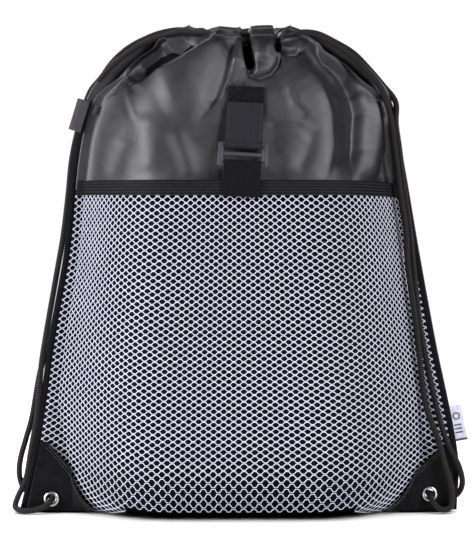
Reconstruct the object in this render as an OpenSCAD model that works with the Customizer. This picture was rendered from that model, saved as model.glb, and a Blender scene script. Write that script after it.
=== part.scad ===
// Drawstring backpack, standing, filled and drawn shut.
// X runs left to right seen from the front, the front faces -Y, Z is up.
// The origin is the middle of the bottom seam, on the surface that the bag stands on.

/* [Bag] */
// Thickness of the woven panels
panel_thick = 1.2; // [0.8:0.1:1.6]
// How much flatter the back is than the front
back_fullness = 0.88; // [0.7:0.02:1]
// Distance from the bag's centre plane to a panel's inner face at a seam
seam_half_gap = 0.25; // [0.2:0.05:0.4]
// Radius of the cord-like ridge along each side seam
seam_bead_r = 1.6; // [1.2:0.1:1.8]
// Height along the fabric at which the side seams stop and the slits begin
slit_start = 350; // [330:5:360]

/* [Channels] */
// Height of each drawcord channel
channel_high = 15; // [14:0.5:18]
// Depth of each drawcord channel, front to back
channel_deep = 8.4; // [8:0.2:10]
// Half the width of the gathered mouth
channel_reach = 36; // [32:1:42]

/* [Mesh pocket] */
// Height along the fabric of the net's upper edge
pocket_top = 268; // [240:2:272]
// How far the pocket's mouth stands off the bag at the middle
pocket_stand = 10; // [9:0.5:11]
// Thickness of the net
net_thick = 1; // [0.8:0.1:1.4]
// Height of the elastic binding along the pocket's mouth
binding_high = 12; // [8:1:16]
// Thickness of the elastic binding
binding_thick = 2; // [1.4:0.1:2.4]

/* [Closure strap] */
// Width of the webbing
strap_w = 30; // [24:1:32]
// Thickness of the webbing
strap_thick = 1.4; // [1:0.1:1.6]
// Width of the slider
slider_w = 40.5; // [38:0.5:44]
// Height of the slider
slider_high = 21; // [20:0.5:22]
// Thickness of the slider
slider_thick = 2.6; // [2:0.1:2.8]
// Width of each of the slider's bars
slider_bar = 3.4; // [3:0.1:3.6]

/* [Corners] */
// Length of a corner patch along the bottom
patch_w = 64; // [50:1:70]
// Height of a corner patch
patch_high = 60; // [45:1:70]
// Thickness of the corner patches
patch_thick = 1.2; // [0.8:0.1:1.6]
// Radius of the eyelets' holes
eyelet_bore_r = 4; // [3.8:0.1:4.2]
// Radius of the eyelets' flanges
eyelet_flange_r = 6.5; // [6:0.1:7]

/* [Cords] */
// Diameter of the drawcords
cord_d = 5; // [4:0.1:5]

/* [Trim] */
// Width of the hang loop's webbing
hang_loop_w = 27; // [22:1:28]
// How far the hang loop stands out from the seam
hang_loop_reach = 10.6; // [10:0.2:11]
// Height of the label
label_high = 30; // [20:1:34]
// How far the label stands out from the seam
label_reach = 13; // [10:0.5:14]

/* [Hidden] */

FRONT = -1;
BACK = 1;
LEFT = -1;
RIGHT = 1;

// Each row is a height along the fabric, then the place it reaches: half width and height for the
// side edges, depth and height for the middle of a panel.
left_edge = [[0, 178, 0], [50, 167, 50], [147, 153, 145], [223, 140, 220], [303, 132, 300],
    [350, 120, 345], [385, 99, 372], [415, 75, 389], [460, 36, 402]];
right_edge = [[0, 178, 0], [50, 179, 48], [147, 160, 143], [223, 146, 218], [303, 132, 298],
    [350, 122, 344], [385, 101, 371], [415, 76, 388], [460, 38, 402]];
base_edge = 12;
base_depth = 25;
middle_line = [[base_edge, base_depth, 0], [24, 45, 8], [44, 61, 38], [88, 66, 85], [153, 68, 150],
    [223, 66, 220], [293, 59, 290], [350, 46, 345], [405, 28, 382], [460, 12, 402]];
panel_rows = [0, 4, 8, 12, 16, 20, 24, 29, 34, 39, 45, 53, 63, 76, 95, 120, 153, 188, 223, 258, 293, 322,
    350, 368, 386, 404, 421, 437];
gather_from = 404;
gather_drop = 18;
panel_cols = 30;
flat_share = 0.3;
ear_at_base = 0.22;
ear_higher_up = 0.06;
layer_gap = 1.4;
small_gap = 0.3;

// The slit: above the side seams the front panel's edge lies inside and in front of the back one's.
slit_inset = 9;
front_edge_depth = 5;
back_edge_depth = 2.5;

function smooth(x) = let(c = min(1, max(0, x))) c * c * (3 - 2 * c);

// A smooth curve through rows of [height along the fabric, value, value].
function span_at(rows, s, i = 0) =
    i >= len(rows) - 2 || s < rows[i + 1][0] ? i : span_at(rows, s, i + 1);
function slope_at(rows, i) =
    let(a = rows[max(0, i - 1)], b = rows[min(len(rows) - 1, i + 1)]) (b - a) / (b[0] - a[0]);
function along(rows, s) =
    let(i = span_at(rows, s), a = rows[i], b = rows[i + 1], h = b[0] - a[0], t = (s - a[0]) / h)
    (2 * pow(t, 3) - 3 * t * t + 1) * a + (pow(t, 3) - 2 * t * t + t) * h * slope_at(rows, i)
    + (3 * t * t - 2 * pow(t, 3)) * b + (pow(t, 3) - t * t) * h * slope_at(rows, i + 1);

function edge_at(s, hand) = along(hand == LEFT ? left_edge : right_edge, s);
function middle_at(s) = s < base_edge ? [s, base_depth * s / base_edge, 0] : along(middle_line, s);

// How full a panel is across its width: 1 over the flat middle, 0 along the flat ear at the seam.
function fullness(q) =
    let(c = max(0, (q - flat_share) / (1 - flat_share))) q >= 1 ? 0 : pow(1 - pow(c, 3), 1.5);
function ear_share(s) = ear_higher_up + (ear_at_base - ear_higher_up) * (1 - smooth(s / 110));
function slit_share(s) = smooth((s - slit_start) / 25) * smooth((470 - s) / 60);
function depth_scale(face) = face == FRONT ? 1 : back_fullness;

// Share of the half width against share of the fabric's length across, so that columns are even.
function across(s, hand, face) =
    let(steps = 14, w = edge_at(s, hand)[1], d = middle_at(s)[1] * depth_scale(face),
        ear = ear_share(s),
        run = [for (i = [0:steps]) [w * i / steps, d * fullness(i / steps / (1 - ear))]],
        parts = [for (i = [1:steps]) norm(run[i] - run[i - 1])],
        sums = [for (i = 0, t = 0; i <= steps; t = t + (i < steps ? parts[i] : 0), i = i + 1) t])
    [for (i = [0:steps]) [sums[i] / sums[steps], i / steps]];

// The outer face of a panel: u runs from -1 to 1 across and s is the height along the fabric.
function skin(u, s, face) =
    let(hand = u < 0 ? LEFT : RIGHT, edge = edge_at(s, hand), mid = middle_at(s),
        q = lookup(abs(u), across(s, hand, face)), full = fullness(q / (1 - ear_share(s))),
        slit = s > slit_start ? slit_share(s) : 0,
        inset = face == FRONT ? slit_inset * slit * abs(u) : 0,
        edge_depth = slit * (face == FRONT ? front_edge_depth : back_edge_depth),
        depth = edge_depth * (1 - full) + mid[1] * depth_scale(face) * full)
    [hand * q * (edge[1] - inset), face * (seam_half_gap + panel_thick + depth),
        edge[2] * (1 - full) + mid[2] * full];

function skin_normal(u, s, face) =
    let(e = 0.01, u0 = max(-1, u - e), u1 = min(1, u + e), s0 = max(0, s - 1), s1 = s + 1,
        n = cross(skin(u1, s, face) - skin(u0, s, face), skin(u, s1, face) - skin(u, s0, face)))
    -face * n / norm(n);
function lifted(u, s, face, lift) =
    lift == 0 ? skin(u, s, face) : skin(u, s, face) + lift * skin_normal(u, s, face);

// The height along the fabric from which a layer of this reach stays above the ground.
function ground_clear(u, reach) =
    let(full = fullness(abs(u) / (1 - ear_at_base)), run = base_depth / base_edge * full)
    min(2 * base_edge, 2 + reach * run / norm([run, 1 - full]) / (1.001 - full));

// Near the mouth the rows dip in the middle, to end below the channel.
function gathered(u, s) =
    s <= gather_from ? s
    : s - gather_drop * (s - gather_from) / 33 * (1 - smooth((abs(u) - 0.65) / 0.3));

// A closed sheet between two grids of points with the same rows and columns.
module sheet(outer, inner, face) {
    rows = len(outer);
    cols = len(outer[0]);
    n = rows * cols;
    points = concat([for (row = outer) for (p = row) p], [for (row = inner) for (p = row) p]);
    walls = [for (r = [0:rows - 2]) for (c = [0:cols - 2])
        let(a = r * cols + c, b = a + 1, d = a + cols, e = d + 1)
        each [[a, d, e], [a, e, b], [n + a, n + e, n + d], [n + a, n + b, n + e]]];
    ends = [for (c = [0:cols - 2], r = [0, rows - 1])
        let(a = r * cols + c, b = a + 1)
        each r == 0 ? [[a, b, n + b], [a, n + b, n + a]] : [[a, n + b, b], [a, n + a, n + b]]];
    sides = [for (r = [0:rows - 2], c = [0, cols - 1])
        let(a = r * cols + c, d = a + cols)
        each c == 0 ? [[a, n + d, d], [a, n + a, n + d]] : [[a, d, n + d], [a, n + d, n + a]]];
    faces = concat(walls, ends, sides);
    polyhedron(points, face == FRONT ? faces : [for (f = faces) [f[2], f[1], f[0]]], convexity = 6);
}

// A tube swept along points, with one ring of sides at each of them.
module tube(path, r, sides = 8) {
    last = len(path) - 1;
    dirs = [for (i = [0:last]) let(d = path[min(last, i + 1)] - path[max(0, i - 1)]) d / norm(d)];
    normals = [for (i = 0, n = first_normal(dirs[0]); i <= last;
        i = i + 1, n = i <= last ? turned(n, dirs[i]) : n) n];
    points = [for (i = [0:last]) for (k = [0:sides - 1])
        let(a = 360 * k / sides) path[i] + r * (cos(a) * normals[i] + sin(a) * cross(dirs[i], normals[i]))];
    walls = [for (i = [0:last - 1]) for (k = [0:sides - 1])
        let(a = i * sides + k, b = i * sides + (k + 1) % sides)
        each [[a, a + sides, b + sides], [a, b + sides, b]]];
    caps = [[for (k = [0:sides - 1]) k], [for (k = [sides - 1:-1:0]) last * sides + k]];
    polyhedron(points, concat(walls, caps), convexity = 8);
}
function first_normal(d) = let(n = cross(d, abs(d[1]) < 0.9 ? [0, 1, 0] : [1, 0, 0])) n / norm(n);
function turned(n, d) = let(m = n - (n * d) * d) m / norm(m);

// ---- The bag ----

module panel(face) {
    cols = [for (c = [0:panel_cols]) 2 * c / panel_cols - 1];
    outer = [for (s = panel_rows) [for (u = cols) skin(u, gathered(u, s), face)]];
    inner = [for (s = panel_rows) [for (u = cols) lifted(u, gathered(u, s), face, -panel_thick)]];
    difference() {
        sheet(outer, inner, face);
        eyelet_holes();
    }
}

module front_panel() {
    color("#2c2a30") panel(FRONT);
}

module back_panel() {
    color("#232228") panel(BACK);
}

// A channel is a flattened tube of fabric along the arc of the gathered mouth.
channel_z = 397;
channel_wall = 1;
channel_end_y = 6.4;
channel_bow = 7;
channel_steps = 10;
function channel_mid(i) =
    let(x = channel_reach * (2 * i / channel_steps - 1))
    [x, channel_end_y + channel_bow * (1 - pow(x / channel_reach, 2))];
function channel_ring(i, face, shrink) =
    let(p = channel_mid(i), slope = -2 * channel_bow * p[0] / pow(channel_reach, 2),
        n = [-slope, 1] / norm([slope, 1]), d = channel_deep / 2 - shrink, h = channel_high / 2 - shrink,
        a = p - d * n, b = p + d * n)
    [[a[0], face * a[1], channel_z - h], [b[0], face * b[1], channel_z - h],
        [b[0], face * b[1], channel_z + h], [a[0], face * a[1], channel_z + h]];

module channel(face) {
    rings = channel_steps + 1;
    n = 4 * rings;
    points = concat([for (i = [0:channel_steps]) each channel_ring(i, face, 0)],
        [for (i = [0:channel_steps]) each channel_ring(i, face, channel_wall)]);
    walls = [for (i = [0:channel_steps - 1]) for (k = [0:3])
        let(a = 4 * i + k, b = 4 * i + (k + 1) % 4)
        each [[a, b + 4, b], [a, a + 4, b + 4], [n + a, n + b, n + b + 4], [n + a, n + b + 4, n + a + 4]]];
    mouths = [for (k = [0:3])
        let(b = (k + 1) % 4, e = 4 * channel_steps)
        each [[k, b, n + b], [k, n + b, n + k], [e + k, n + e + b, e + b], [e + k, n + e + k, n + e + b]]];
    faces = concat(walls, mouths);
    polyhedron(points, face == BACK ? faces : [for (f = faces) [f[2], f[1], f[0]]], convexity = 4);
}

module front_channel() {
    color("#35333a") channel(FRONT);
}

module back_channel() {
    color("#2b2930") channel(BACK);
}

function bead_at(s, hand) =
    let(e = edge_at(s, hand)) [hand * (e[1] + seam_bead_r + small_gap), 0, e[2]];

module side_seam(hand) {
    steps = 20;
    tube([for (i = [0:steps]) bead_at(2 + (slit_start - 4) * i / steps, hand)], seam_bead_r);
}

module side_seam_left() {
    color("#1f1e23") side_seam(LEFT);
}

module side_seam_right() {
    color("#1f1e23") side_seam(RIGHT);
}

// The seam allowance stands up inside the bag and is the line that the bag stands on.
bottom_seam_long = 220;
bottom_seam_thick = 1.8;
bottom_seam_high = 10;

module bottom_seam() {
    color("#1b1a1f")
        translate([0, 0, bottom_seam_high / 2])
            cube([bottom_seam_long, bottom_seam_thick, bottom_seam_high], center = true);
}

// A patch of cloth that lies on a panel, between two shares across and two heights.
module laid_patch(face, u0, u1, s0, s1, lift, thick, cols, rows) {
    us = [for (c = [0:cols]) u0 + (u1 - u0) * c / cols];
    ss = [for (r = [0:rows]) s0 + (s1 - s0) * r / rows];
    sheet([for (s = ss) [for (u = us) lifted(u, s, face, lift + thick)]],
        [for (s = ss) [for (u = us) lifted(u, s, face, lift)]], face);
}

bar_tack_w = 0.03;
bar_tack_high = 9;
bar_tack_thick = 0.8;

module bar_tack(hand) {
    u = hand * 0.965;
    laid_patch(FRONT, u - bar_tack_w / 2, u + bar_tack_w / 2, slit_start - 5 - bar_tack_high,
        slit_start - 5, layer_gap, bar_tack_thick, 2, 3);
}

module bar_tack_left() {
    color("#0f0f12") bar_tack(LEFT);
}

module bar_tack_right() {
    color("#0f0f12") bar_tack(RIGHT);
}

// ---- The mesh pocket ----

under_slack = 1;

function pocket_lift(u, s) =
    layer_gap + under_slack * fullness(abs(u)) * (1 - smooth((s - 25) / 60))
    + (pocket_stand - layer_gap) * (1 - pow(abs(u), 3)) * smooth((s - 60) / 180);

module mesh_pocket() {
    rows = 19;
    cols = [for (c = [0:panel_cols]) 2 * c / panel_cols - 1];
    heights = [for (u = cols) [for (r = [0:rows])
        let(s0 = ground_clear(u, layer_gap + under_slack + net_thick))
        s0 + (pocket_top - s0) * pow(r / rows, 1.5)]];
    outer = [for (r = [0:rows]) [for (c = [0:panel_cols])
        let(u = cols[c], s = heights[c][r]) lifted(u, s, FRONT, pocket_lift(u, s) + net_thick)]];
    inner = [for (r = [0:rows]) [for (c = [0:panel_cols])
        let(u = cols[c], s = heights[c][r]) lifted(u, s, FRONT, pocket_lift(u, s))]];
    color("#c9cbe0")
        difference() {
            sheet(outer, inner, FRONT);
            eyelet_holes();
        }
}

module pocket_binding() {
    cols = [for (c = [0:panel_cols]) 2 * c / panel_cols - 1];
    heights = [for (r = [0:2]) pocket_top + small_gap + binding_high * r / 2];
    color("#26252a")
        sheet([for (s = heights) [for (u = cols) lifted(u, s, FRONT, pocket_lift(u, s) + binding_thick)]],
            [for (s = heights) [for (u = cols) lifted(u, s, FRONT, pocket_lift(u, s))]], FRONT);
}

// ---- The closure strap ----

// Profiles of the webbing are drawn as [outwards, up] about the slider's middle.
slider_at = [3.5, -68, 299];
strap_lean = 21;
strap_tilt = 3;
top_bar_v = slider_high / 2 - slider_bar / 2;
fold_inner_r = 2.6;
fold_outer_r = fold_inner_r + strap_thick;
fold_mid_r = (fold_inner_r + fold_outer_r) / 2;

module at_strap() {
    translate(slider_at) rotate([0, strap_tilt, 0]) rotate([-strap_lean, 0, 0]) children();
}

module webbing_profile(w) {
    translate([-w / 2, 0, 0]) rotate([90, 0, 90]) linear_extrude(w) mirror([1, 0]) children();
}

module strip(line, thick) {
    polygon(concat([for (p = line) [p[0] + thick / 2, p[1]]],
        [for (i = [len(line) - 1:-1:0]) [line[i][0] - thick / 2, line[i][1]]]));
}

loop_line = [[-fold_mid_r, top_bar_v + small_gap], [-1.4, 45], [-1.3, 60]];
anchor_top = fold_mid_r - 0.4;
anchor_line = [[anchor_top, 1 - top_bar_v], [anchor_top, -top_bar_v], [1.2, -19], [-3, -35]];
flap_line = [[fold_mid_r, top_bar_v + small_gap], [0.4, 45]];

module loop_strap() {
    color("#3c3940") at_strap() webbing_profile(strap_w) strip(loop_line, strap_thick);
}

module anchor_webbing() {
    color("#1a1a1d")
        at_strap()
            webbing_profile(strap_w)
                difference() {
                    union() {
                        translate([0, -top_bar_v]) circle(fold_outer_r);
                        strip(anchor_line, strap_thick);
                    }
                    translate([0, -top_bar_v]) circle(fold_inner_r);
                }
}

module strap_fold() {
    color("#55535b")
        at_strap()
            webbing_profile(strap_w)
                difference() {
                    translate([0, top_bar_v]) circle(fold_outer_r);
                    translate([0, top_bar_v]) circle(fold_inner_r);
                    translate([-2 * fold_outer_r, top_bar_v]) square(4 * fold_outer_r);
                }
}

module hook_flap() {
    color("#5c5a62") at_strap() webbing_profile(strap_w) strip(flap_line, strap_thick);
}

module rounded_plate(w, h, r) {
    square([w - 2 * r, h], center = true);
    square([w, h - 2 * r], center = true);
    for (x = [-1, 1], y = [-1, 1])
        translate([x * (w / 2 - r), y * (h / 2 - r)])
            circle(r);
}

module slider() {
    slot_w = strap_w + 1.5;
    slot_high = (slider_high - 3 * slider_bar) / 2;
    color("#17171a")
        at_strap()
            rotate([90, 0, 0])
                translate([0, 0, -slider_thick / 2])
                    linear_extrude(slider_thick)
                        difference() {
                            rounded_plate(slider_w, slider_high, 1.8);
                            for (side = [-1, 1])
                                translate([0, side * (slider_bar + slot_high) / 2])
                                    square([slot_w, slot_high], center = true);
                        }
}

// ---- The corners ----

eyelet_at = [[-156, 12], [160, 16]];
stack_front = seam_half_gap + panel_thick + 2 * layer_gap + net_thick + patch_thick;
stack_back = seam_half_gap + panel_thick + layer_gap + patch_thick;
eyelet_wall = 0.7;
eyelet_flange = 1.2;
eyelet_clear = 0.2;
eyelet_seat = 1.2;
patch_slack = 25;

module eyelet_holes() {
    for (p = eyelet_at)
        translate([p[0], 0, p[1]])
            rotate([90, 0, 0])
                cylinder(r = eyelet_bore_r + eyelet_wall + eyelet_clear, h = 40, center = true, $fn = 48);
}

// How far a corner patch's inner face lies off its panel, over the net on the front.
function patch_reach(u, s, face) =
    layer_gap + patch_slack * pow(1 - abs(u), 2) + (face == FRONT ? pocket_lift(u, s) + net_thick : 0);

// A triangle of cloth over a corner, cut off just short of its upper tip.
module corner_patch(face, hand) {
    rows = 8;
    cols = 8;
    tip = 0.03;
    order = hand == LEFT ? [0:cols] : [cols:-1:0];
    places = [for (r = [0:rows]) [for (c = order)
        let(up = r / rows, wide = (patch_w / 180 - tip) * (1 - up) + tip,
            u = hand * (0.995 - wide * c / cols),
            low = ground_clear(u, patch_reach(u, 0, face) + patch_thick),
            s = low + (patch_high - low) * up)
        [u, s, patch_reach(u, s, face)]]];
    color("#141416")
        difference() {
            sheet([for (row = places) [for (p = row) lifted(p[0], p[1], face, p[2] + patch_thick)]],
                [for (row = places) [for (p = row) lifted(p[0], p[1], face, p[2])]], face);
            eyelet_holes();
        }
}

module patch_front_left() {
    corner_patch(FRONT, LEFT);
}

module patch_front_right() {
    corner_patch(FRONT, RIGHT);
}

module patch_back_left() {
    corner_patch(BACK, LEFT);
}

module patch_back_right() {
    corner_patch(BACK, RIGHT);
}

// Turned about an axis along the bag's depth: profile points are [radius, distance to the front].
module turned_at(p, profile) {
    translate([p[0], 0, p[1]]) rotate([90, 0, 0]) rotate_extrude($fn = 48) polygon(profile);
}

module eyelet(p) {
    face = stack_front + eyelet_seat;
    back = -(stack_back + eyelet_seat);
    barrel_r = eyelet_bore_r + eyelet_wall;
    color("#b9babd")
        turned_at(p, [[eyelet_bore_r, back], [barrel_r, back], [barrel_r, face], [eyelet_flange_r, face],
            [eyelet_flange_r, face + eyelet_flange], [eyelet_bore_r, face + eyelet_flange]]);
}

module washer(p) {
    back = -(stack_back + eyelet_seat + eyelet_flange);
    color("#a9aaad")
        turned_at(p, [[eyelet_bore_r, back], [eyelet_flange_r, back],
            [eyelet_flange_r, back + eyelet_flange], [eyelet_bore_r, back + eyelet_flange]]);
}

module eyelet_left() {
    eyelet(eyelet_at[0]);
}

module eyelet_right() {
    eyelet(eyelet_at[1]);
}

module washer_left() {
    washer(eyelet_at[0]);
}

module washer_right() {
    washer(eyelet_at[1]);
}

// ---- The cords ----

// Each cord runs from the front channel down its side, through the eyelet and back up to the
// back channel.
cord_left_route = [
    [8, -13, 400], [-6, -13, 400], [-20, -11, 400], [-36, -7, 400], [-48, -4, 401], [-64, -2, 397],
    [-80, -2, 391], [-94, -2, 382], [-106, -1, 372], [-116, 3, 361], [-125, 9, 349], [-134, 10, 320],
    [-139, 5, 295], [-142, 3, 265], [-146, 2, 232], [-152, 2, 198], [-161, 1, 147], [-165, 0, 120],
    [-168, 0, 85], [-174, 1, 50], [-178, 2, 28], [-185, 1, 12], [-186, -7, 5], [-179, -14, 3],
    [-168, -15, 4], [-159, -14, 8], [-156, -10, 11], [-156, 7, 11], [-160, 12, 12], [-170, 12, 13],
    [-180, 10, 18], [-184, 9, 30], [-183, 8, 44], [-178, 8, 62], [-173, 8, 80], [-166, 8, 118],
    [-157, 8, 147], [-147, 8, 198], [-141, 8, 232], [-137, 8, 265], [-133, 9, 295], [-128, 13, 320],
    [-119, 13, 349], [-114, 9, 363], [-105, 5, 376], [-93, 5, 387], [-79, 5, 395], [-63, 5, 401],
    [-47, 5, 403], [-36, 7, 400], [-20, 11, 400], [-6, 13, 400], [8, 13, 400]];
cord_right_route = [
    [-8, -13, 394], [6, -13, 394], [20, -11, 394], [36, -7, 394], [42, -6, 396], [52, -4, 400],
    [66, -2, 398], [82, -2, 390], [96, -2, 380], [108, -3, 368], [118, -6, 355], [126, -10, 332],
    [130, -12, 303], [134, -13, 270], [139, -13, 236], [141, -14, 205], [148, -15, 153],
    [155, -16, 95], [166, -15, 63], [173, -14, 38], [178, -13, 20], [177, -13, 6], [169, -15, 4],
    [163, -15, 9], [160, -11, 15], [160, 8, 15], [165, 12, 13], [174, 12, 11], [184, 9, 13],
    [188, 0, 24], [184, -9, 40], [174, -10, 60], [164, -10, 94], [152, -10, 153], [146, -8, 205],
    [143, -8, 236], [138, -8, 270], [134, -7, 303], [131, -6, 325], [131, 0, 343], [121, 5, 357],
    [108, 5, 372], [96, 5, 384], [81, 5, 393], [66, 5, 400], [52, 5, 401], [42, 6, 396],
    [36, 7, 394], [20, 11, 394], [6, 13, 394], [-8, 13, 394]];

module cord_left() {
    color("#1d1b1c") tube(cord_left_route, cord_d / 2);
}

module cord_right() {
    color("#1d1b1c") tube(cord_right_route, cord_d / 2);
}

// ---- Trim on the side seams ----

loop_height = 334;
label_height = 76;
hang_loop_thick = 1.4;
hang_loop_r = 5.1;

// The frame of a seam: its local Z runs up the seam from the bead's middle.
module at_seam(s, hand) {
    p = bead_at(s, hand);
    d = bead_at(s + 14, hand) - bead_at(s - 14, hand);
    translate(p) rotate([0, atan2(d[0], d[2]), 0]) children();
}

module hang_loop() {
    bend = hang_loop_reach - hang_loop_r;
    color("#39373d")
        at_seam(loop_height, LEFT)
            translate([0, 0, -hang_loop_w / 2])
                linear_extrude(hang_loop_w)
                    difference() {
                        union() {
                            translate([-bend, 0]) circle(hang_loop_r);
                            translate([-bend, -hang_loop_r]) square([bend, 2 * hang_loop_r]);
                        }
                        translate([-bend, 0]) circle(hang_loop_r - hang_loop_thick);
                        translate([-bend, hang_loop_thick - hang_loop_r])
                            square([bend + 1, 2 * (hang_loop_r - hang_loop_thick)]);
                    }
}

label_thick = 0.6;

module label() {
    start = seam_bead_r + 0.4;
    color("#a6a4b4")
        at_seam(label_height, RIGHT)
            translate([start, -label_thick / 2, -label_high / 2])
                cube([label_reach - start, label_thick, label_high]);
}

front_panel();
back_panel();
front_channel();
back_channel();
side_seam_left();
side_seam_right();
bottom_seam();
bar_tack_left();
bar_tack_right();
mesh_pocket();
pocket_binding();
loop_strap();
anchor_webbing();
slider();
strap_fold();
hook_flap();
patch_front_left();
patch_front_right();
patch_back_left();
patch_back_right();
eyelet_left();
eyelet_right();
washer_left();
washer_right();
cord_left();
cord_right();
hang_loop();
label();
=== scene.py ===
import math

import bpy
import numpy as np
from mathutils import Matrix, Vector


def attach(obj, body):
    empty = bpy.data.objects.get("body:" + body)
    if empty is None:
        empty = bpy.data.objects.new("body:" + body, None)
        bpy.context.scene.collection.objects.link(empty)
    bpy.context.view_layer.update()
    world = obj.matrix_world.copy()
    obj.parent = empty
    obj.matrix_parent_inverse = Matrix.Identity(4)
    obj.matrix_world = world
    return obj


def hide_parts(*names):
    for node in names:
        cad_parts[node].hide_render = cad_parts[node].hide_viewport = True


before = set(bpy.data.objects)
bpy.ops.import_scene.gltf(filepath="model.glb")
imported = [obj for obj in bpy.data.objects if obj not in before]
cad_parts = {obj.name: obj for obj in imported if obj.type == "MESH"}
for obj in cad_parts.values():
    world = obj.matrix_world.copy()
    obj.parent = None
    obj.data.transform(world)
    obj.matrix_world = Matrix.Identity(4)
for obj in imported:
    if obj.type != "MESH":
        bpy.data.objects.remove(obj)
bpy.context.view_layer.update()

MM = 0.001
FRONT, BACK = -1, 1
LEFT, RIGHT = -1, 1
USED = {}


# ---- Mesh helpers: every shape below is worked out in millimetres ----

def make_mesh(name, points, faces, flat=None, smooth=True):
    """A mesh from points in millimetres and rows of quads or triangles."""
    points = np.asarray(points, float).reshape(-1, 3) * MM
    faces = [np.asarray(f, int) for f in (faces if isinstance(faces, list) else [faces]) if len(f)]
    mesh = bpy.data.meshes.new(name)
    mesh.vertices.add(len(points))
    mesh.vertices.foreach_set("co", points.ravel())
    sizes = np.concatenate([np.full(len(f), f.shape[1]) for f in faces])
    loops = np.concatenate([f.ravel() for f in faces])
    mesh.loops.add(len(loops))
    mesh.loops.foreach_set("vertex_index", loops)
    mesh.polygons.add(len(sizes))
    mesh.polygons.foreach_set("loop_start", np.concatenate([[0], np.cumsum(sizes)[:-1]]))
    mesh.update(calc_edges=True)
    mesh.polygons.foreach_set("use_smooth", np.full(len(sizes), smooth))
    if flat is not None:
        layer = mesh.attributes.new("flat", "FLOAT_VECTOR", "POINT")
        layer.data.foreach_set("vector", np.asarray(flat, float).reshape(-1, 3).ravel())
    mesh.validate()
    obj = bpy.data.objects.new(name, mesh)
    bpy.context.scene.collection.objects.link(obj)
    return obj


def set_float(obj, name, values):
    """A number for every point of the grids that the piece was made from."""
    layer = obj.data.attributes.new(name, "FLOAT", "POINT")
    values = np.asarray(values, float).ravel()
    if obj.name in USED:
        values = values[USED[obj.name]]
    layer.data.foreach_set("value", values)


def grid_faces(rows, cols, wrap=False, flip=False):
    r, c = np.meshgrid(np.arange(rows - 1), np.arange(cols if wrap else cols - 1), indexing="ij")
    a, b = r * cols + c, r * cols + (c + 1) % cols
    quads = np.stack([a, b, b + cols, a + cols], -1).reshape(-1, 4)
    return quads[:, ::-1] if flip else quads


def cut_hole(points, cells, hole):
    """Drops the cells inside a round hole along Y and brings the cut edge on to its circle."""
    x, z, radius = hole
    offset = points[:, [0, 2]] - [x, z]
    far = np.linalg.norm(offset, axis=1)
    kept = cells[(far[cells] > radius).any(axis=1)]
    near = (far < 1.02 * radius + 0.01) & np.isin(np.arange(len(points)), kept)
    points[near, 0] = x + offset[near, 0] / far[near] * radius
    points[near, 2] = z + offset[near, 1] / far[near] * radius
    return kept


def closed_sheet(name, outer, inner, flat, flip=False, holes=()):
    """A sheet with two faces and rims from two grids of the same size."""
    rows, cols = outer.shape[:2]
    n = rows * cols
    outer, inner = outer.reshape(-1, 3).copy(), inner.reshape(-1, 3).copy()
    front = grid_faces(rows, cols, flip=flip)
    for hole in holes:
        kept = cut_hole(outer, front, hole)
        cut_hole(inner, kept, (hole[0], hole[1], 0))
        gone = np.setdiff1d(front, kept)
        moved = np.linalg.norm(outer[:, [0, 2]] - hole[:2], axis=1) <= hole[2] + 0.01
        moved[gone] = False
        inner[moved, 0], inner[moved, 2] = outer[moved, 0], outer[moved, 2]
        front = kept
    edges = np.concatenate([front[:, [k, (k + 1) % 4]] for k in range(4)])
    codes, backs = edges[:, 0] * n + edges[:, 1], edges[:, 1] * n + edges[:, 0]
    open_edges = edges[~np.isin(codes, backs)]
    rim = np.stack([open_edges[:, 1], open_edges[:, 0], open_edges[:, 0] + n, open_edges[:, 1] + n], -1)
    used, faces = np.unique(np.concatenate([front, n + front[:, ::-1], rim]), return_inverse=True)
    points = np.concatenate([outer, inner])[used]
    obj = make_mesh(name, points, faces.reshape(-1, 4), np.concatenate([flat.reshape(-1, 3)] * 2)[used])
    USED[obj.name] = used
    return obj


def tube_points(path, radius, sides):
    """Rings round a path; radius is a number or an array of rings by sides."""
    path = np.asarray(path, float)
    d = np.gradient(path, axis=0)
    d /= np.linalg.norm(d, axis=1)[:, None]
    n = np.cross(d[0], [0, 1, 0] if abs(d[0][1]) < 0.9 else [1, 0, 0])
    normals = []
    for direction in d:
        n = n - n.dot(direction) * direction
        n /= np.linalg.norm(n)
        normals.append(n)
    normals = np.array(normals)
    side = np.cross(d, normals)
    turn = 2 * np.pi * np.arange(sides) / sides
    ring = np.cos(turn)[None, :, None] * normals[:, None] + np.sin(turn)[None, :, None] * side[:, None]
    if np.ndim(radius) != 2:
        radius = np.broadcast_to(np.asarray(radius, float), (len(path), sides))
    return path[:, None] + ring * radius[..., None]


def capped_tube(path, radius, sides):
    rings = tube_points(path, radius, sides)
    rows = len(rings)
    faces = grid_faces(rows, sides, wrap=True)
    points = np.concatenate([rings.reshape(-1, 3), [path[0]], [path[-1]]])
    k = np.arange(sides)
    nxt, last = (k + 1) % sides, (rows - 1) * sides
    caps = np.concatenate([np.stack([nxt, k, np.full(sides, rows * sides)], -1),
                           np.stack([last + k, last + nxt, np.full(sides, rows * sides + 1)], -1)])
    return points, [faces, caps]


def joined_tubes(paths, radii, sides):
    """Points and faces of many capped tubes, as one mesh's."""
    points, walls, caps, start = [], [], [], 0
    for path, radius in zip(paths, radii):
        verts, (wall, cap) = capped_tube(path, radius, sides)
        points.append(verts)
        walls.append(wall + start)
        caps.append(cap + start)
        start += len(verts)
    return np.concatenate(points), [np.concatenate(walls), np.concatenate(caps)]


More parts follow.
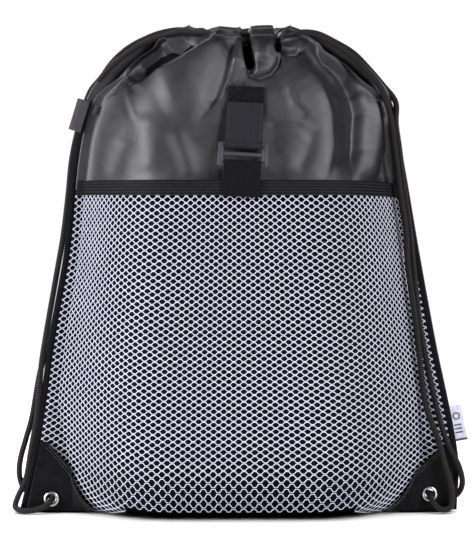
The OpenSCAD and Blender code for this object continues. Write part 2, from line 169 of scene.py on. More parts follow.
def smooth_path(points, step):
    """A smooth curve through points, at an even spacing."""
    p = np.asarray(points, float)
    p = np.concatenate([[2 * p[0] - p[1]], p, [2 * p[-1] - p[-2]]])
    t = (np.arange(12) / 12)[:, None]
    parts = []
    for i in range(1, len(p) - 2):
        a, b, c, d = p[i - 1:i + 3]
        parts.append(0.5 * (2 * b + (c - a) * t + (2 * a - 5 * b + 4 * c - d) * t ** 2
                            + (3 * b - a - 3 * c + d) * t ** 3))
    curve = np.concatenate(parts + [p[-2:-1]])
    run = np.concatenate([[0], np.cumsum(np.linalg.norm(np.diff(curve, axis=0), axis=1))])
    at = np.linspace(0, run[-1], int(run[-1] / step) + 1)
    return np.stack([np.interp(at, run, curve[:, k]) for k in range(3)], -1), run[-1]


# ---- Materials ----

class Finish:
    """A Principled material and a few short ways of adding nodes to it."""

    def __init__(self, name, **values):
        self.mat = bpy.data.materials.new(name)
        self.mat.use_nodes = True
        self.tree = self.mat.node_tree
        self.shader = self.tree.nodes["Principled BSDF"]
        for key, value in values.items():
            self.shader.inputs[key.replace("_", " ")].default_value = value

    def add(self, kind, settings=None, **inputs):
        node = self.tree.nodes.new(kind)
        for key, value in (settings or {}).items():
            setattr(node, key, value)
        for key, value in inputs.items():
            self.put(value, node.inputs[int(key[1:]) if key[1:].isdigit() else key.replace("_", " ")])
        return node

    def put(self, value, socket):
        if isinstance(value, bpy.types.NodeSocket):
            self.tree.links.new(value, socket)
        else:
            socket.default_value = value

    def flat(self):
        return self.add("ShaderNodeAttribute", {"attribute_name": "flat"}).outputs["Vector"]

    def value_of(self, name):
        return self.add("ShaderNodeAttribute", {"attribute_name": name}).outputs["Fac"]

    def place(self):
        return self.add("ShaderNodeTexCoord").outputs["Object"]

    def scaled(self, vector, scale):
        return self.add("ShaderNodeMapping", Vector=vector, Scale=scale).outputs[0]

    def axis(self, vector, name):
        return self.add("ShaderNodeSeparateXYZ", i0=vector).outputs[name]

    def noise(self, vector, scale, detail=3.0, rough=0.5):
        return self.add("ShaderNodeTexNoise", Vector=vector, Scale=scale, Detail=detail,
                        Roughness=rough).outputs["Fac"]

    def math(self, operation, a, b=0.0, c=0.0):
        return self.add("ShaderNodeMath", {"operation": operation}, i0=a, i1=b, i2=c).outputs[0]

    def ramp(self, value, low, high, out_low=0.0, out_high=1.0):
        return self.add("ShaderNodeMapRange", {"interpolation_type": "SMOOTHSTEP"}, i0=value, i1=low,
                        i2=high, i3=out_low, i4=out_high).outputs[0]

    def mix(self, share, a, b):
        node = self.add("ShaderNodeMix", {"data_type": "RGBA"})
        self.put(share, node.inputs[0])
        self.put(a, node.inputs[6])
        self.put(b, node.inputs[7])
        return node.outputs[2]

    def colour(self, value):
        self.put(value, self.shader.inputs["Base Color"])

    def rough(self, value):
        self.put(value, self.shader.inputs["Roughness"])

    def bump(self, height, distance, strength=1.0):
        node = self.add("ShaderNodeBump", Height=height, Distance=distance, Strength=strength)
        self.put(node.outputs[0], self.shader.inputs["Normal"])

    def ribs(self, value, pitch):
        """A wave from 0 to 1 along a value in millimetres."""
        wave = self.math("SINE", self.math("MULTIPLY", value, 2 * math.pi / pitch))
        return self.math("MULTIPLY_ADD", wave, 0.5, 0.5)

    def weave(self, vector, pitch_x, pitch_y):
        """Threads over and under each other, from 0 to 1."""
        x, y = self.axis(vector, 0), self.axis(vector, 1)
        over = self.ribs(x, pitch_x)
        under = self.ribs(y, pitch_y)
        check = self.math("MULTIPLY", self.math("SINE", self.math("MULTIPLY", x, math.pi / pitch_x)),
                          self.math("SINE", self.math("MULTIPLY", y, math.pi / pitch_y)))
        share = self.ramp(check, -0.35, 0.35)
        a = self.math("MULTIPLY", over, share)
        b = self.math("MULTIPLY", under, self.math("SUBTRACT", 1.0, share))
        return self.math("ADD", a, b)


def rgb(r, g, b):
    return (r, g, b, 1.0)


def nylon(name, light, dark, gloss=(0.42, 0.54), specular=0.6):
    """Smooth coated cloth with a fine weave, slubs across it and polished patches, and painted shade that
    turns it near black in deep pleats.
    """
    f = Finish(name, Specular_IOR_Level=specular)
    flat = f.flat()
    slubs = f.noise(f.scaled(flat, (0.02, 0.9, 1)), 1.0, 2.0)
    clouds = f.noise(f.scaled(flat, (0.03, 0.045, 0.03)), 1.0, 4.0, 0.6)
    grain = f.noise(f.scaled(flat, (0.7, 1.1, 1)), 1.0, 3.0)
    tone = f.math("ADD", f.math("MULTIPLY", clouds, 0.7), f.math("MULTIPLY", slubs, 0.3))
    colour = f.mix(f.ramp(tone, 0.35, 0.65), rgb(*dark), rgb(*light))
    # painted shade: the colour goes near black in deep pleats, by the mask from the folds
    f.colour(f.mix(f.value_of("pleat_shade"), colour, rgb(0.002, 0.002, 0.0025)))
    f.rough(f.ramp(f.math("ADD", f.math("MULTIPLY", clouds, 0.6), f.math("MULTIPLY", grain, 0.4)),
                   0.3, 0.7, *gloss))
    threads = f.weave(flat, 0.5, 0.45)
    height = f.math("ADD", f.math("MULTIPLY", threads, 0.3),
                    f.math("ADD", f.math("MULTIPLY", slubs, 0.5), f.math("MULTIPLY", grain, 0.35)))
    f.bump(height, 0.00025, 0.5)
    return f.mat


def woven(name, light, dark, pitch, fuzz=0.0):
    """Webbing: a coarse weave with uneven wear, and painted shade that makes the raised threads paler and
    the dips between them darker.
    """
    f = Finish(name, Specular_IOR_Level=0.04, Sheen_Weight=0.01 + fuzz / 8, Sheen_Roughness=0.5)
    flat = f.flat()
    threads = f.weave(flat, pitch, pitch * 0.8)
    wear = f.noise(f.scaled(flat, (0.25, 0.2, 0.25)), 1.0, 4.0)
    fleck = f.noise(f.scaled(flat, (1.3, 1.9, 1.3)), 1.0, 3.0)
    # painted shade: the colour follows the threads' height; the wear and fleck noise is uneven tone
    share = f.math("ADD", f.math("MULTIPLY", threads, 0.6),
                   f.math("ADD", f.math("MULTIPLY", wear, 0.25), f.math("MULTIPLY", fleck, 0.3)))
    f.colour(f.mix(f.ramp(share, 0.35, 0.85), rgb(*dark), rgb(*light)))
    f.rough(f.ramp(fleck, 0.3, 0.7, 0.7, 0.9))
    f.bump(f.math("ADD", threads, f.math("MULTIPLY", fleck, 0.6 + 2 * fuzz)), 0.0004, 0.8)
    return f.mat


def elastic_finish():
    f = Finish("ribbed_elastic", Specular_IOR_Level=0.07, Sheen_Weight=0.01, Sheen_Roughness=0.4)
    flat = f.flat()
    ribs = f.ribs(f.axis(flat, 1), 2.4)
    fine = f.ribs(f.axis(flat, 0), 0.8)
    cloud = f.noise(f.scaled(flat, (0.12, 0.3, 0.1)), 1.0, 3.0)
    # painted shade: the colour follows the ribs, paler on their crests and darker between them; the cloud
    # noise is uneven tone
    tone = f.math("ADD", f.math("MULTIPLY", ribs, 0.6), f.math("MULTIPLY", cloud, 0.5))
    f.colour(f.mix(f.ramp(tone, 0.2, 0.95), rgb(0.003, 0.003, 0.004), rgb(0.013, 0.012, 0.014)))
    f.rough(f.ramp(cloud, 0.3, 0.7, 0.5, 0.68))
    f.bump(f.math("ADD", f.math("MULTIPLY", fine, 0.4), f.math("MULTIPLY", ribs, 0.3)), 0.0002, 0.6)
    return f.mat


def net_finish():
    f = Finish("net_thread", Specular_IOR_Level=0.3, Sheen_Weight=0.05, Sheen_Roughness=0.5)
    flat = f.flat()
    fibre = f.noise(f.scaled(flat, (3.0, 1.2, 3.0)), 1.0, 2.0)
    soil = f.noise(f.scaled(flat, (0.04, 0.05, 0.04)), 1.0, 3.0)
    clean = f.mix(f.ramp(fibre, 0.3, 0.7), rgb(0.46, 0.47, 0.56), rgb(0.62, 0.63, 0.71))
    f.colour(f.mix(f.ramp(soil, 0.62, 0.8, 0.0, 0.3), clean, rgb(0.36, 0.37, 0.44)))
    f.rough(f.ramp(fibre, 0.3, 0.7, 0.45, 0.65))
    f.bump(fibre, 0.0002, 0.6)
    return f.mat


def leatherette_finish():
    f = Finish("corner_leatherette", Specular_IOR_Level=0.08)
    flat = f.flat()
    cells = f.add("ShaderNodeTexVoronoi", {"feature": "SMOOTH_F1"}, Vector=f.scaled(flat, (0.9, 0.9, 0.9)),
                  Scale=1.0, Smoothness=0.4).outputs["Distance"]
    cloud = f.noise(f.scaled(flat, (0.08, 0.08, 0.08)), 1.0, 3.0)
    f.colour(f.mix(f.ramp(cloud, 0.3, 0.7), rgb(0.0015, 0.0015, 0.002), rgb(0.0035, 0.0035, 0.004)))
    f.rough(f.ramp(cloud, 0.3, 0.7, 0.38, 0.52))
    f.bump(f.math("SUBTRACT", 1.0, cells), 0.0003, 0.6)
    return f.mat


def metal_finish():
    f = Finish("eyelet_nickel", Metallic=1.0)
    place = f.place()
    brushed = f.noise(f.scaled(place, (900, 900, 900)), 1.0, 3.0)
    smear = f.noise(f.scaled(place, (160, 160, 160)), 1.0, 2.0)
    f.colour(f.mix(f.ramp(smear, 0.35, 0.7), rgb(0.62, 0.61, 0.6), rgb(0.42, 0.41, 0.42)))
    f.rough(f.ramp(brushed, 0.3, 0.7, 0.18, 0.36))
    f.bump(brushed, 0.00005, 0.3)
    return f.mat


def plastic_finish():
    f = Finish("slider_plastic", Specular_IOR_Level=0.35)
    place = f.place()
    spark = f.noise(f.scaled(place, (1400, 1400, 1400)), 1.0, 2.0)
    scuff = f.noise(f.scaled(place, (120, 320, 120)), 1.0, 4.0, 0.7)
    f.colour(f.mix(f.ramp(scuff, 0.5, 0.75), rgb(0.026, 0.026, 0.03), rgb(0.042, 0.04, 0.046)))
    f.rough(f.ramp(scuff, 0.3, 0.7, 0.48, 0.6))
    f.bump(spark, 0.00008, 0.5)
    return f.mat


def cord_finish():
    f = Finish("braided_cord", Specular_IOR_Level=0.08, Sheen_Weight=0.01, Sheen_Roughness=0.45)
    flat = f.flat()
    fleck = f.noise(f.scaled(flat, (1.2, 1.2, 1.2)), 1.0, 3.0)
    # painted highlight and painted shade: the braid's raised plaits are paler, the dips between them near
    # black
    top = f.value_of("top")
    tone = f.math("ADD", f.math("MULTIPLY", top, 0.8), f.math("MULTIPLY", fleck, 0.5))
    f.colour(f.mix(f.ramp(tone, 0.5, 1.15), rgb(0.0012, 0.0011, 0.0013), rgb(0.052, 0.045, 0.044)))
    f.rough(f.ramp(fleck, 0.3, 0.7, 0.6, 0.8))
    f.bump(fleck, 0.0003, 0.6)
    return f.mat


def thread_finish():
    f = Finish("sewing_thread", Specular_IOR_Level=0.4, Sheen_Weight=0.05)
    fibre = f.noise(f.scaled(f.place(), (4000, 1500, 4000)), 1.0, 2.0)
    f.colour(f.mix(f.ramp(fibre, 0.3, 0.7), rgb(0.015, 0.015, 0.017), rgb(0.04, 0.038, 0.042)))
    f.rough(f.ramp(fibre, 0.3, 0.7, 0.45, 0.65))
    f.bump(fibre, 0.0001, 0.5)
    return f.mat


def label_finish():
    """Satin with a printed ring and a few bars, which say nothing."""
    f = Finish("label_satin", Specular_IOR_Level=0.5, Sheen_Weight=0.2, Sheen_Roughness=0.3)
    flat = f.flat()
    x, y = f.axis(flat, 0), f.axis(flat, 1)
    fine = f.ribs(y, 0.5)
    cloud = f.noise(f.scaled(flat, (0.3, 0.3, 0.3)), 1.0, 3.0)
    satin = f.mix(f.ramp(cloud, 0.3, 0.7), rgb(0.42, 0.41, 0.5), rgb(0.56, 0.55, 0.64))
    far = f.math("SQRT", f.math("ADD", f.math("POWER", f.math("SUBTRACT", x, 7.0), 2.0),
                                f.math("POWER", f.math("SUBTRACT", y, 21.0), 2.0)))
    ring = f.ramp(f.math("ABSOLUTE", f.math("SUBTRACT", far, 2.6)), 0.75, 0.5)
    bars = f.math("MULTIPLY", f.ramp(f.ribs(y, 3.2), 0.55, 0.75),
                  f.math("MULTIPLY", f.ramp(y, 15.5, 15.0),
                         f.math("MULTIPLY", f.ramp(y, 6.0, 6.5), f.ramp(f.math("ABSOLUTE", f.math(
                             "SUBTRACT", x, 7.0)), 3.4, 3.1))))
    hem = f.ramp(y, 2.4, 1.8)
    mark = f.math("MAXIMUM", f.math("MAXIMUM", ring, bars), hem)
    f.colour(f.mix(mark, satin, rgb(0.05, 0.045, 0.07)))
    f.rough(f.ramp(cloud, 0.3, 0.7, 0.32, 0.45))
    f.bump(fine, 0.0001, 0.5)
    return f.mat


def floor_finish():
    """A pale floor that fades away far from the bag."""
    f = Finish("studio_floor", Specular_IOR_Level=0.1)
    place = f.place()
    cloud = f.noise(place, 3.0)
    f.colour(f.mix(cloud, rgb(0.93, 0.93, 0.93), rgb(0.95, 0.95, 0.95)))
    f.rough(0.9)
    far = f.add("ShaderNodeVectorMath", {"operation": "LENGTH"}, i0=place).outputs["Value"]
    f.put(f.ramp(far, 1.3, 0.8), f.shader.inputs["Alpha"])
    return f.mat


FINISH = {
    "front": nylon("front_nylon", (0.0085, 0.0075, 0.0085), (0.0035, 0.003, 0.004)),
    # painted shade: a darker, less glossy copy of the nylon, for the cloth behind the net and in deep pleats
    "painted_shade": nylon("painted_shade_nylon", (0.003, 0.003, 0.006), (0.0015, 0.0015, 0.004), (0.6, 0.75), 0.05),
    "back": nylon("back_nylon", (0.0085, 0.0075, 0.0085), (0.0035, 0.003, 0.004)),
    "seam": woven("seam_cloth", (0.010, 0.010, 0.012), (0.003, 0.003, 0.004), 0.9),
    "hook": woven("hook_webbing", (0.034, 0.033, 0.038), (0.003, 0.003, 0.004), 1.05),
    "loop": woven("loop_webbing", (0.017, 0.0165, 0.02), (0.002, 0.002, 0.003), 1.5, fuzz=0.3),
    "anchor": woven("anchor_webbing_cloth", (0.010, 0.0095, 0.0115), (0.0012, 0.0012, 0.002), 1.4),
    "tape": woven("loop_tape", (0.1, 0.095, 0.1), (0.006, 0.0055, 0.006), 0.9),
    "elastic": elastic_finish(),
    "net": net_finish(),
    "leather": leatherette_finish(),
    "metal": metal_finish(),
    "plastic": plastic_finish(),
    "cord": cord_finish(),
    "thread": thread_finish(),
    "label": label_finish(),
    "floor": floor_finish(),
}


def dress(obj, finish, body, *nodes, slot=None):
    """Gives a piece its material, the body it rides on and the CAD nodes it stands for."""
    obj.data.materials.append(FINISH[finish])
    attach(obj, body)
    if nodes:
        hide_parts(*nodes)
    return obj


# ---- Camera ----

def make_camera():
    """A long lens about 2 m away, a little above the bag's middle."""
    azimuth, elevation, distance = math.radians(-0.3), math.radians(2.5), 2.0
    target = Vector((-0.001, 0, 0.203))
    away = Vector((math.sin(azimuth) * math.cos(elevation), -math.cos(azimuth) * math.cos(elevation),
                   math.sin(elevation)))
    camera = bpy.data.cameras.new("camera")
    camera.sensor_width = 36
    camera.lens = 36 * distance / 0.451
    obj = bpy.data.objects.new("camera", camera)
    obj.location = target + distance * away
    obj.rotation_euler = (-away).to_track_quat("-Z", "Y").to_euler()
    bpy.context.scene.collection.objects.link(obj)
    bpy.context.scene.camera = obj


make_camera()


# ---- Cords: the routes are those of the CAD model ----

CORD_D = 5
CORD_ROUTES = {
    "cord_left": [
        [8, -13, 400], [-6, -13, 400], [-20, -11, 400], [-36, -7, 400], [-48, -4, 401], [-64, -2, 397],
        [-80, -2, 391], [-94, -2, 382], [-106, -1, 372], [-116, 3, 361], [-125, 9, 349], [-134, 10, 320],
        [-139, 5, 295], [-142, 3, 265], [-146, 2, 232], [-152, 2, 198], [-161, 1, 147], [-165, 0, 120],
        [-168, 0, 85], [-174, 1, 50], [-178, 2, 28], [-185, 1, 12], [-186, -7, 5], [-179, -14, 3],
        [-168, -15, 4], [-159, -14, 8], [-156, -10, 11], [-156, 7, 11], [-160, 12, 12], [-170, 12, 13],
        [-180, 10, 18], [-184, 9, 30], [-183, 8, 44], [-178, 8, 62], [-173, 8, 80], [-166, 8, 118],
        [-157, 8, 147], [-147, 8, 198], [-141, 8, 232], [-137, 8, 265], [-133, 9, 295], [-128, 13, 320],
        [-119, 13, 349], [-114, 9, 363], [-105, 5, 376], [-93, 5, 387], [-79, 5, 395], [-63, 5, 401],
        [-47, 5, 403], [-36, 7, 400], [-20, 11, 400], [-6, 13, 400], [8, 13, 400]],
    "cord_right": [
        [-8, -13, 394], [6, -13, 394], [20, -11, 394], [36, -7, 394], [42, -6, 396], [52, -4, 400],
        [66, -2, 398], [82, -2, 390], [96, -2, 380], [108, -3, 368], [118, -6, 355], [126, -10, 332],
        [130, -12, 303], [134, -13, 270], [139, -13, 236], [141, -14, 205], [148, -15, 153],
        [155, -16, 95], [166, -15, 63], [173, -14, 38], [178, -13, 20], [177, -13, 6], [169, -15, 4],
        [163, -15, 9], [160, -11, 15], [160, 8, 15], [165, 12, 13], [174, 12, 11], [184, 9, 13],
        [188, 0, 24], [184, -9, 40], [174, -10, 60], [164, -10, 94], [152, -10, 153], [146, -8, 205],
        [143, -8, 236], [138, -8, 270], [134, -7, 303], [131, -6, 325], [131, 0, 343], [121, 5, 357],
        [108, 5, 372], [96, 5, 384], [81, 5, 393], [66, 5, 400], [52, 5, 401], [42, 6, 396],
        [36, 7, 394], [20, 11, 394], [6, 13, 394], [-8, 13, 394]],
}


def braided_cord(node):
    """A round braid, whose plaits make wavy ribs across the cord."""
    sides, step, rib = 12, 0.48, 1.92
    path, length = smooth_path(CORD_ROUTES[node], step)
    along, turn = np.meshgrid(np.arange(len(path)) * step, 2 * np.pi * np.arange(sides) / sides,
                              indexing="ij")
    # top: how high the braid stands at each point; it shapes the ribs and gives the painted highlight on
    # their crests
    top = 0.5 + 0.5 * np.cos(2 * np.pi * along / rib + 1.3 * np.cos(4 * turn))
    points, faces = capped_tube(path, CORD_D / 2 * (0.91 + 0.11 * top), sides)
    flat = np.stack([turn * CORD_D / 2, along, 0 * along], -1).reshape(-1, 3)
    obj = make_mesh(node + "_braid", points, faces, np.concatenate([flat, flat[:1], flat[-1:]]))
    set_float(obj, "top", np.append(top.ravel(), [0.5, 0.5]))
    dress(obj, "cord", "bag", node, slot="cord")
    return obj


for node in CORD_ROUTES:
    braided_cord(node)


# ---- The bag's surface, the same as the CAD model's ----

LEFT_EDGE = np.array([[0, 178, 0], [50, 167, 50], [147, 153, 145], [223, 140, 220], [303, 132, 300],
                      [350, 120, 345], [385, 99, 372], [415, 75, 389], [460, 36, 402]], float)
RIGHT_EDGE = np.array([[0, 178, 0], [50, 179, 48], [147, 160, 143], [223, 146, 218], [303, 132, 298],
                       [350, 122, 344], [385, 101, 371], [415, 76, 388], [460, 38, 402]], float)
BASE_EDGE, BASE_DEPTH = 12, 25
MIDDLE = np.array([[12, 25, 0], [24, 45, 8], [44, 61, 38], [88, 66, 85], [153, 68, 150],
                   [223, 66, 220], [293, 59, 290], [350, 46, 345], [405, 28, 382], [460, 12, 402]], float)
PANEL_THICK, SEAM_HALF_GAP, BACK_FULLNESS = 1.2, 0.25, 0.88
LAYER_GAP, UNDER_SLACK, POCKET_STAND = 1.4, 1.0, 10.0
POCKET_TOP, NET_THICK = 268.0, 1.0
BINDING_HIGH, BINDING_THICK = 12.0, 2.0
SLIT_START = 350
PATCH_SLACK, PATCH_W, PATCH_HIGH, PATCH_THICK = 25, 64, 60, 1.2
EYELETS = {"left": (-156, 12), "right": (160, 16)}
EYELET_BORE, EYELET_FLANGE, EYELET_WALL = 4.0, 6.5, 0.7
EYELET_HOLES = [(x, z, EYELET_BORE + EYELET_WALL + 0.4) for x, z in EYELETS.values()]
EYELET_FRONT, EYELET_BACK = 7.65, 5.25


def smooth(x):
    c = np.clip(x, 0, 1)
    return c * c * (3 - 2 * c)


def along(rows, s):
    """A smooth curve through rows of [height along the cloth, value, value]."""
    s = np.asarray(s, float)
    i = np.clip(np.searchsorted(rows[:, 0], s, side="right") - 1, 0, len(rows) - 2)
    lo, hi = np.maximum(0, np.arange(len(rows)) - 1), np.minimum(len(rows) - 1, np.arange(len(rows)) + 1)
    slope = (rows[hi] - rows[lo]) / (rows[hi, 0] - rows[lo, 0])[:, None]
    a, b, h = rows[i], rows[i + 1], (rows[i + 1, 0] - rows[i, 0])
    t = ((s - a[..., 0]) / h)[..., None]
    h = h[..., None]
    return ((2 * t ** 3 - 3 * t ** 2 + 1) * a + (t ** 3 - 2 * t ** 2 + t) * h * slope[i]
            + (3 * t ** 2 - 2 * t ** 3) * b + (t ** 3 - t ** 2) * h * slope[i + 1])


def edge_at(s, hand):
    return along(LEFT_EDGE if hand == LEFT else RIGHT_EDGE, s)


def middle_at(s):
    s = np.asarray(s, float)
    low = np.stack([s, BASE_DEPTH * s / BASE_EDGE, 0 * s], -1)
    return np.where((s < BASE_EDGE)[..., None], low, along(MIDDLE, np.maximum(s, BASE_EDGE)))


def fullness(q):
    c = np.clip((q - 0.3) / 0.7, 0, 1)
    return np.power(1 - c ** 3, 1.5)


def ear_share(s):
    return 0.06 + 0.16 * (1 - smooth(s / 110))


def skin_grid(us, ss, face):
    """Points of a panel's outer face for every pair of a share across and a height along the cloth."""
    steps = 14
    q_steps = np.arange(steps + 1) / steps
    out = np.zeros((len(ss), len(us), 3))
    scale = 1 if face == FRONT else BACK_FULLNESS
    for hand in (LEFT, RIGHT):
        pick = us < 0 if hand == LEFT else us >= 0
        u = np.abs(us[pick])
        for r, s in enumerate(ss):
            edge, mid = edge_at(s, hand), middle_at(s)
            ear = 1 - ear_share(s)
            run = np.stack([edge[1] * q_steps, mid[1] * scale * fullness(q_steps / ear)], -1)
            sums = np.concatenate([[0], np.cumsum(np.linalg.norm(np.diff(run, axis=0), axis=1))])
            q = np.interp(u, sums / sums[-1], q_steps)
            full = fullness(q / ear)
            slit = smooth((s - SLIT_START) / 25) * smooth((470 - s) / 60) if s > SLIT_START else 0
            inset = 9 * slit * u if face == FRONT else 0
            edge_depth = slit * (5 if face == FRONT else 2.5)
            depth = edge_depth * (1 - full) + mid[1] * scale * full
            out[r, pick, 0] = hand * q * (edge[1] - inset)
            out[r, pick, 1] = face * (SEAM_HALF_GAP + PANEL_THICK + depth)
            out[r, pick, 2] = edge[2] * (1 - full) + mid[2] * full
    return out


def grid_normals(points, face):
    n = np.cross(np.gradient(points, axis=1), np.gradient(points, axis=0))
    return -face * n / np.maximum(np.linalg.norm(n, axis=-1), 1e-9)[..., None]


SKIN_U = np.linspace(-1, 1, 401)
SKIN_S = np.linspace(0, 460, 461)
SKIN = {face: skin_grid(SKIN_U, SKIN_S, face) for face in (FRONT, BACK)}
SKIN_NORMAL = {face: grid_normals(SKIN[face], face) for face in (FRONT, BACK)}


def sample(grid, u, s):
    """Reads a grid over the whole panel at any shares across and heights."""
    x = np.clip((np.asarray(u, float) + 1) / 2 * (len(SKIN_U) - 1), 0, len(SKIN_U) - 1.001)
    y = np.clip(np.asarray(s, float), 0, 459.999)
    i, j = x.astype(int), y.astype(int)
    a, b = (x - i)[..., None], (y - j)[..., None]
    return ((grid[j, i] * (1 - a) + grid[j, i + 1] * a) * (1 - b)
            + (grid[j + 1, i] * (1 - a) + grid[j + 1, i + 1] * a) * b)


def lifted(u, s, face, lift):
    u, s = np.broadcast_arrays(np.asarray(u, float), np.asarray(s, float))
    normal = sample(SKIN_NORMAL[face], u, s)
    normal = normal / np.linalg.norm(normal, axis=-1)[..., None]
    return sample(SKIN[face], u, s) + np.asarray(lift)[..., None] * normal


def pocket_lift(u, s):
    u = np.abs(u)
    return (LAYER_GAP + UNDER_SLACK * fullness(u) * (1 - smooth((s - 25) / 60))
            + (POCKET_STAND - LAYER_GAP) * (1 - u ** 3) * smooth((s - 60) / 180))


def patch_reach(u, s, face):
    over_net = pocket_lift(u, s) + NET_THICK if face == FRONT else 0
    return LAYER_GAP + PATCH_SLACK * (1 - np.abs(u)) ** 2 + over_net


def ground_clear(u, reach):
    """The height along the cloth from which a layer that far off stays above the ground."""
    full = fullness(np.abs(u) / 0.78)
    run = BASE_DEPTH / BASE_EDGE * full
    return np.minimum(2 * BASE_EDGE, 2 + reach * run / np.hypot(run, 1 - full) / (1.001 - full))


# ---- Folds: [height, width on its left, width on its right, power, points of its line as x, z] ----

FRONT_FOLDS = [
    # the rolled lip and the two dark hollows at the upper left
    [-14, 7.0, 4.5, 3, [[-84, 363], [-75, 372], [-66, 379], [-46, 389], [-28, 395]]],
    [8, 3.0, 24, 1.6, [[-74, 361], [-62, 366], [-48, 373], [-34, 383], [-20, 394], [-12, 402]]],
    [4, 2.6, 3.4, 1.6, [[-50, 396], [-66, 390], [-82, 381], [-92, 371], [-90, 361], [-81, 356]]],
    [-6, 2.6, 2.6, 3, [[-60, 391], [-41, 397], [-26, 400]]],
    # a long valley from the middle of the mouth down to the left, and the low rise at its head
    [-6, 3.0, 9, 1.7, [[-2, 400], [-6, 388], [-9, 374], [-13, 360], [-18, 347], [-25, 335]]],
    [3.5, 9, 3, 2, [[4, 396], [-1, 384], [-4, 371]]],
    # the black pleat and the tongue beside it
    [-18, 3.6, 3.4, 5, [[5.5, 405], [6, 396], [7, 386], [9, 376], [10.5, 370]]],
    [7, 7.5, 7.5, 2.6, [[20, 405], [21, 388], [19, 374]]],
    [-5, 2.4, 2.4, 2, [[6, 370], [10, 365], [17, 362.5], [27, 366], [33, 374], [35.5, 384]]],
    [-12, 2.6, 2.4, 4, [[31, 403], [31.5, 394], [33, 386]]],
    [-5, 2.0, 2.2, 2, [[33, 386], [42, 383], [53, 385]]],
    [5, 6.5, 6.5, 2, [[42, 402], [43, 392]]],
    # the right shoulder
    [-4, 3.0, 3.0, 2, [[34, 402], [48, 400], [60, 396], [70, 387], [82, 378]]],
    [4, 4.5, 4.5, 2, [[40, 398], [54, 392], [67, 381], [80, 369], [91, 358]]],
    # the deep valley on the right, and softer ones beside it
    [-10, 3.6, 17, 1.6, [[58, 397], [72, 386], [86, 370], [97, 351], [102, 334], [100, 305], [94, 277]]],
    [4.5, 6.0, 6.0, 2, [[116, 352], [117, 330], [114, 303], [108, 277]]],
    [-3.5, 4.0, 4.0, 2, [[127, 303], [121, 290], [116, 277]]],
    [3.5, 4.0, 12.0, 2, [[52, 382], [66, 360], [75, 334], [77, 306], [70, 281]]],
    # softer folds on the left cheek
    [2.5, 4.0, 6.0, 2, [[-95, 362], [-90, 345], [-84, 325]]],
    [-2.0, 9.0, 7.0, 2, [[-91, 314], [-98, 298], [-104, 279]]],
    [-2.4, 9.0, 8.0, 2, [[-53, 322], [-44, 301], [-36, 279]]],
    [2.2, 13.0, 11.0, 2, [[-78, 335], [-73, 305], [-70, 283]]],
    # small creases in the light middle
    [-0.7, 1.2, 1.4, 2, [[23, 323.5], [38, 324.5], [55, 322]]],
    [-1.2, 3.0, 4.0, 2, [[40, 356], [46, 340], [58, 328]]],
    [-1.6, 5.0, 7.0, 2, [[62, 322], [56, 300], [48, 284]]],
]
BACK_FOLDS = [
    [-12, 4.0, 4.0, 4, [[-3, 404], [-4, 392], [-2, 380]]],
    [-12, 3.0, 3.0, 4, [[-24, 402], [-25, 392], [-28, 384]]],
    [-12, 3.0, 3.0, 4, [[22, 402], [23, 392], [27, 383]]],
    [5, 6.0, 6.0, 2, [[-14, 404], [-14, 388], [-18, 366], [-24, 340]]],
    [5, 6.0, 6.0, 2, [[11, 404], [12, 388], [16, 368], [20, 345]]],
    [-4, 3.5, 5.0, 1.6, [[-30, 384], [-44, 366], [-58, 340], [-66, 305], [-68, 270]]],
    [-4, 5.0, 3.5, 1.6, [[30, 384], [46, 364], [60, 338], [66, 306], [70, 275]]],
    [3, 5.0, 5.0, 2, [[-45, 386], [-66, 366], [-84, 338], [-92, 300]]],
    [3, 5.0, 5.0, 2, [[45, 386], [68, 364], [86, 334], [90, 300]]],
    [-3, 4.0, 4.0, 2, [[-1, 372], [4, 340], [2, 300], [8, 250]]],
    [2, 9.0, 9.0, 2, [[-30, 330], [-34, 270], [-30, 200], [-40, 120]]],
    [2, 9.0, 9.0, 2, [[34, 320], [38, 250], [32, 180], [44, 100]]],
    [-2, 7.0, 9.0, 2, [[-100, 290], [-96, 220], [-110, 140], [-118, 70]]],
    [-2, 9.0, 7.0, 2, [[98, 290], [104, 220], [108, 140], [124, 70]]],
]


def line_distance(x, z, line):
    """Distance to a line, which side it is on, and the share along the line."""
    line = np.asarray(line, float)
    best = np.full(x.shape, 1e9)
    side, share = np.ones(x.shape), np.zeros(x.shape)
    lengths = np.linalg.norm(np.diff(line, axis=0), axis=1)
    starts = np.concatenate([[0], np.cumsum(lengths)])
    for k, size in enumerate(lengths):
        a, d = line[k], (line[k + 1] - line[k]) / size
        t = np.clip((x - a[0]) * d[0] + (z - a[1]) * d[1], 0, size)
        dx, dz = x - a[0] - t * d[0], z - a[1] - t * d[1]
        far = np.hypot(dx, dz)
        near = far < best
        best = np.where(near, far, best)
        side = np.where(near, np.sign(d[0] * dz - d[1] * dx), side)
        share = np.where(near, (starts[k] + t) / starts[-1], share)
    return best, side, share


def fold_height(x, z, folds):
    """The height of all folds together, and how deep in a pleat each point is, which sets the painted shade
    there.
    """
    total, pleat_shade = np.zeros(x.shape), np.zeros(x.shape)
    for height, left, right, power, line in folds:
        far, side, share = line_distance(x, z, line)
        width = np.where(side > 0, left, right)
        taper = 0.25 + 0.75 * smooth(share / 0.2) * smooth((1 - share) / 0.2)
        shape = np.exp(-(far / width) ** power) * taper
        total += height * shape
        # only deep folds get painted shade in the colour
        if height < -11:
            pleat_shade = np.maximum(pleat_shade, np.exp(-(far / (0.92 * width)) ** 4) * smooth(taper))
    return total, pleat_shade


def ripple(x, z, seed):
    """Small uneven waves that any worn cloth has."""
    rng = np.random.default_rng(seed)
    total = np.zeros(x.shape)
    for size, height in ((70, 0.5), (37, 0.22), (19, 0.1), (9, 0.04)):
        for _ in range(5):
            angle, phase = rng.uniform(0, math.pi), rng.uniform(0, 2 * math.pi)
            wave = (x * math.cos(angle) + z * math.sin(angle)) * 2 * math.pi / size
            total += height / 2.2 * np.sin(wave + phase)
    return total


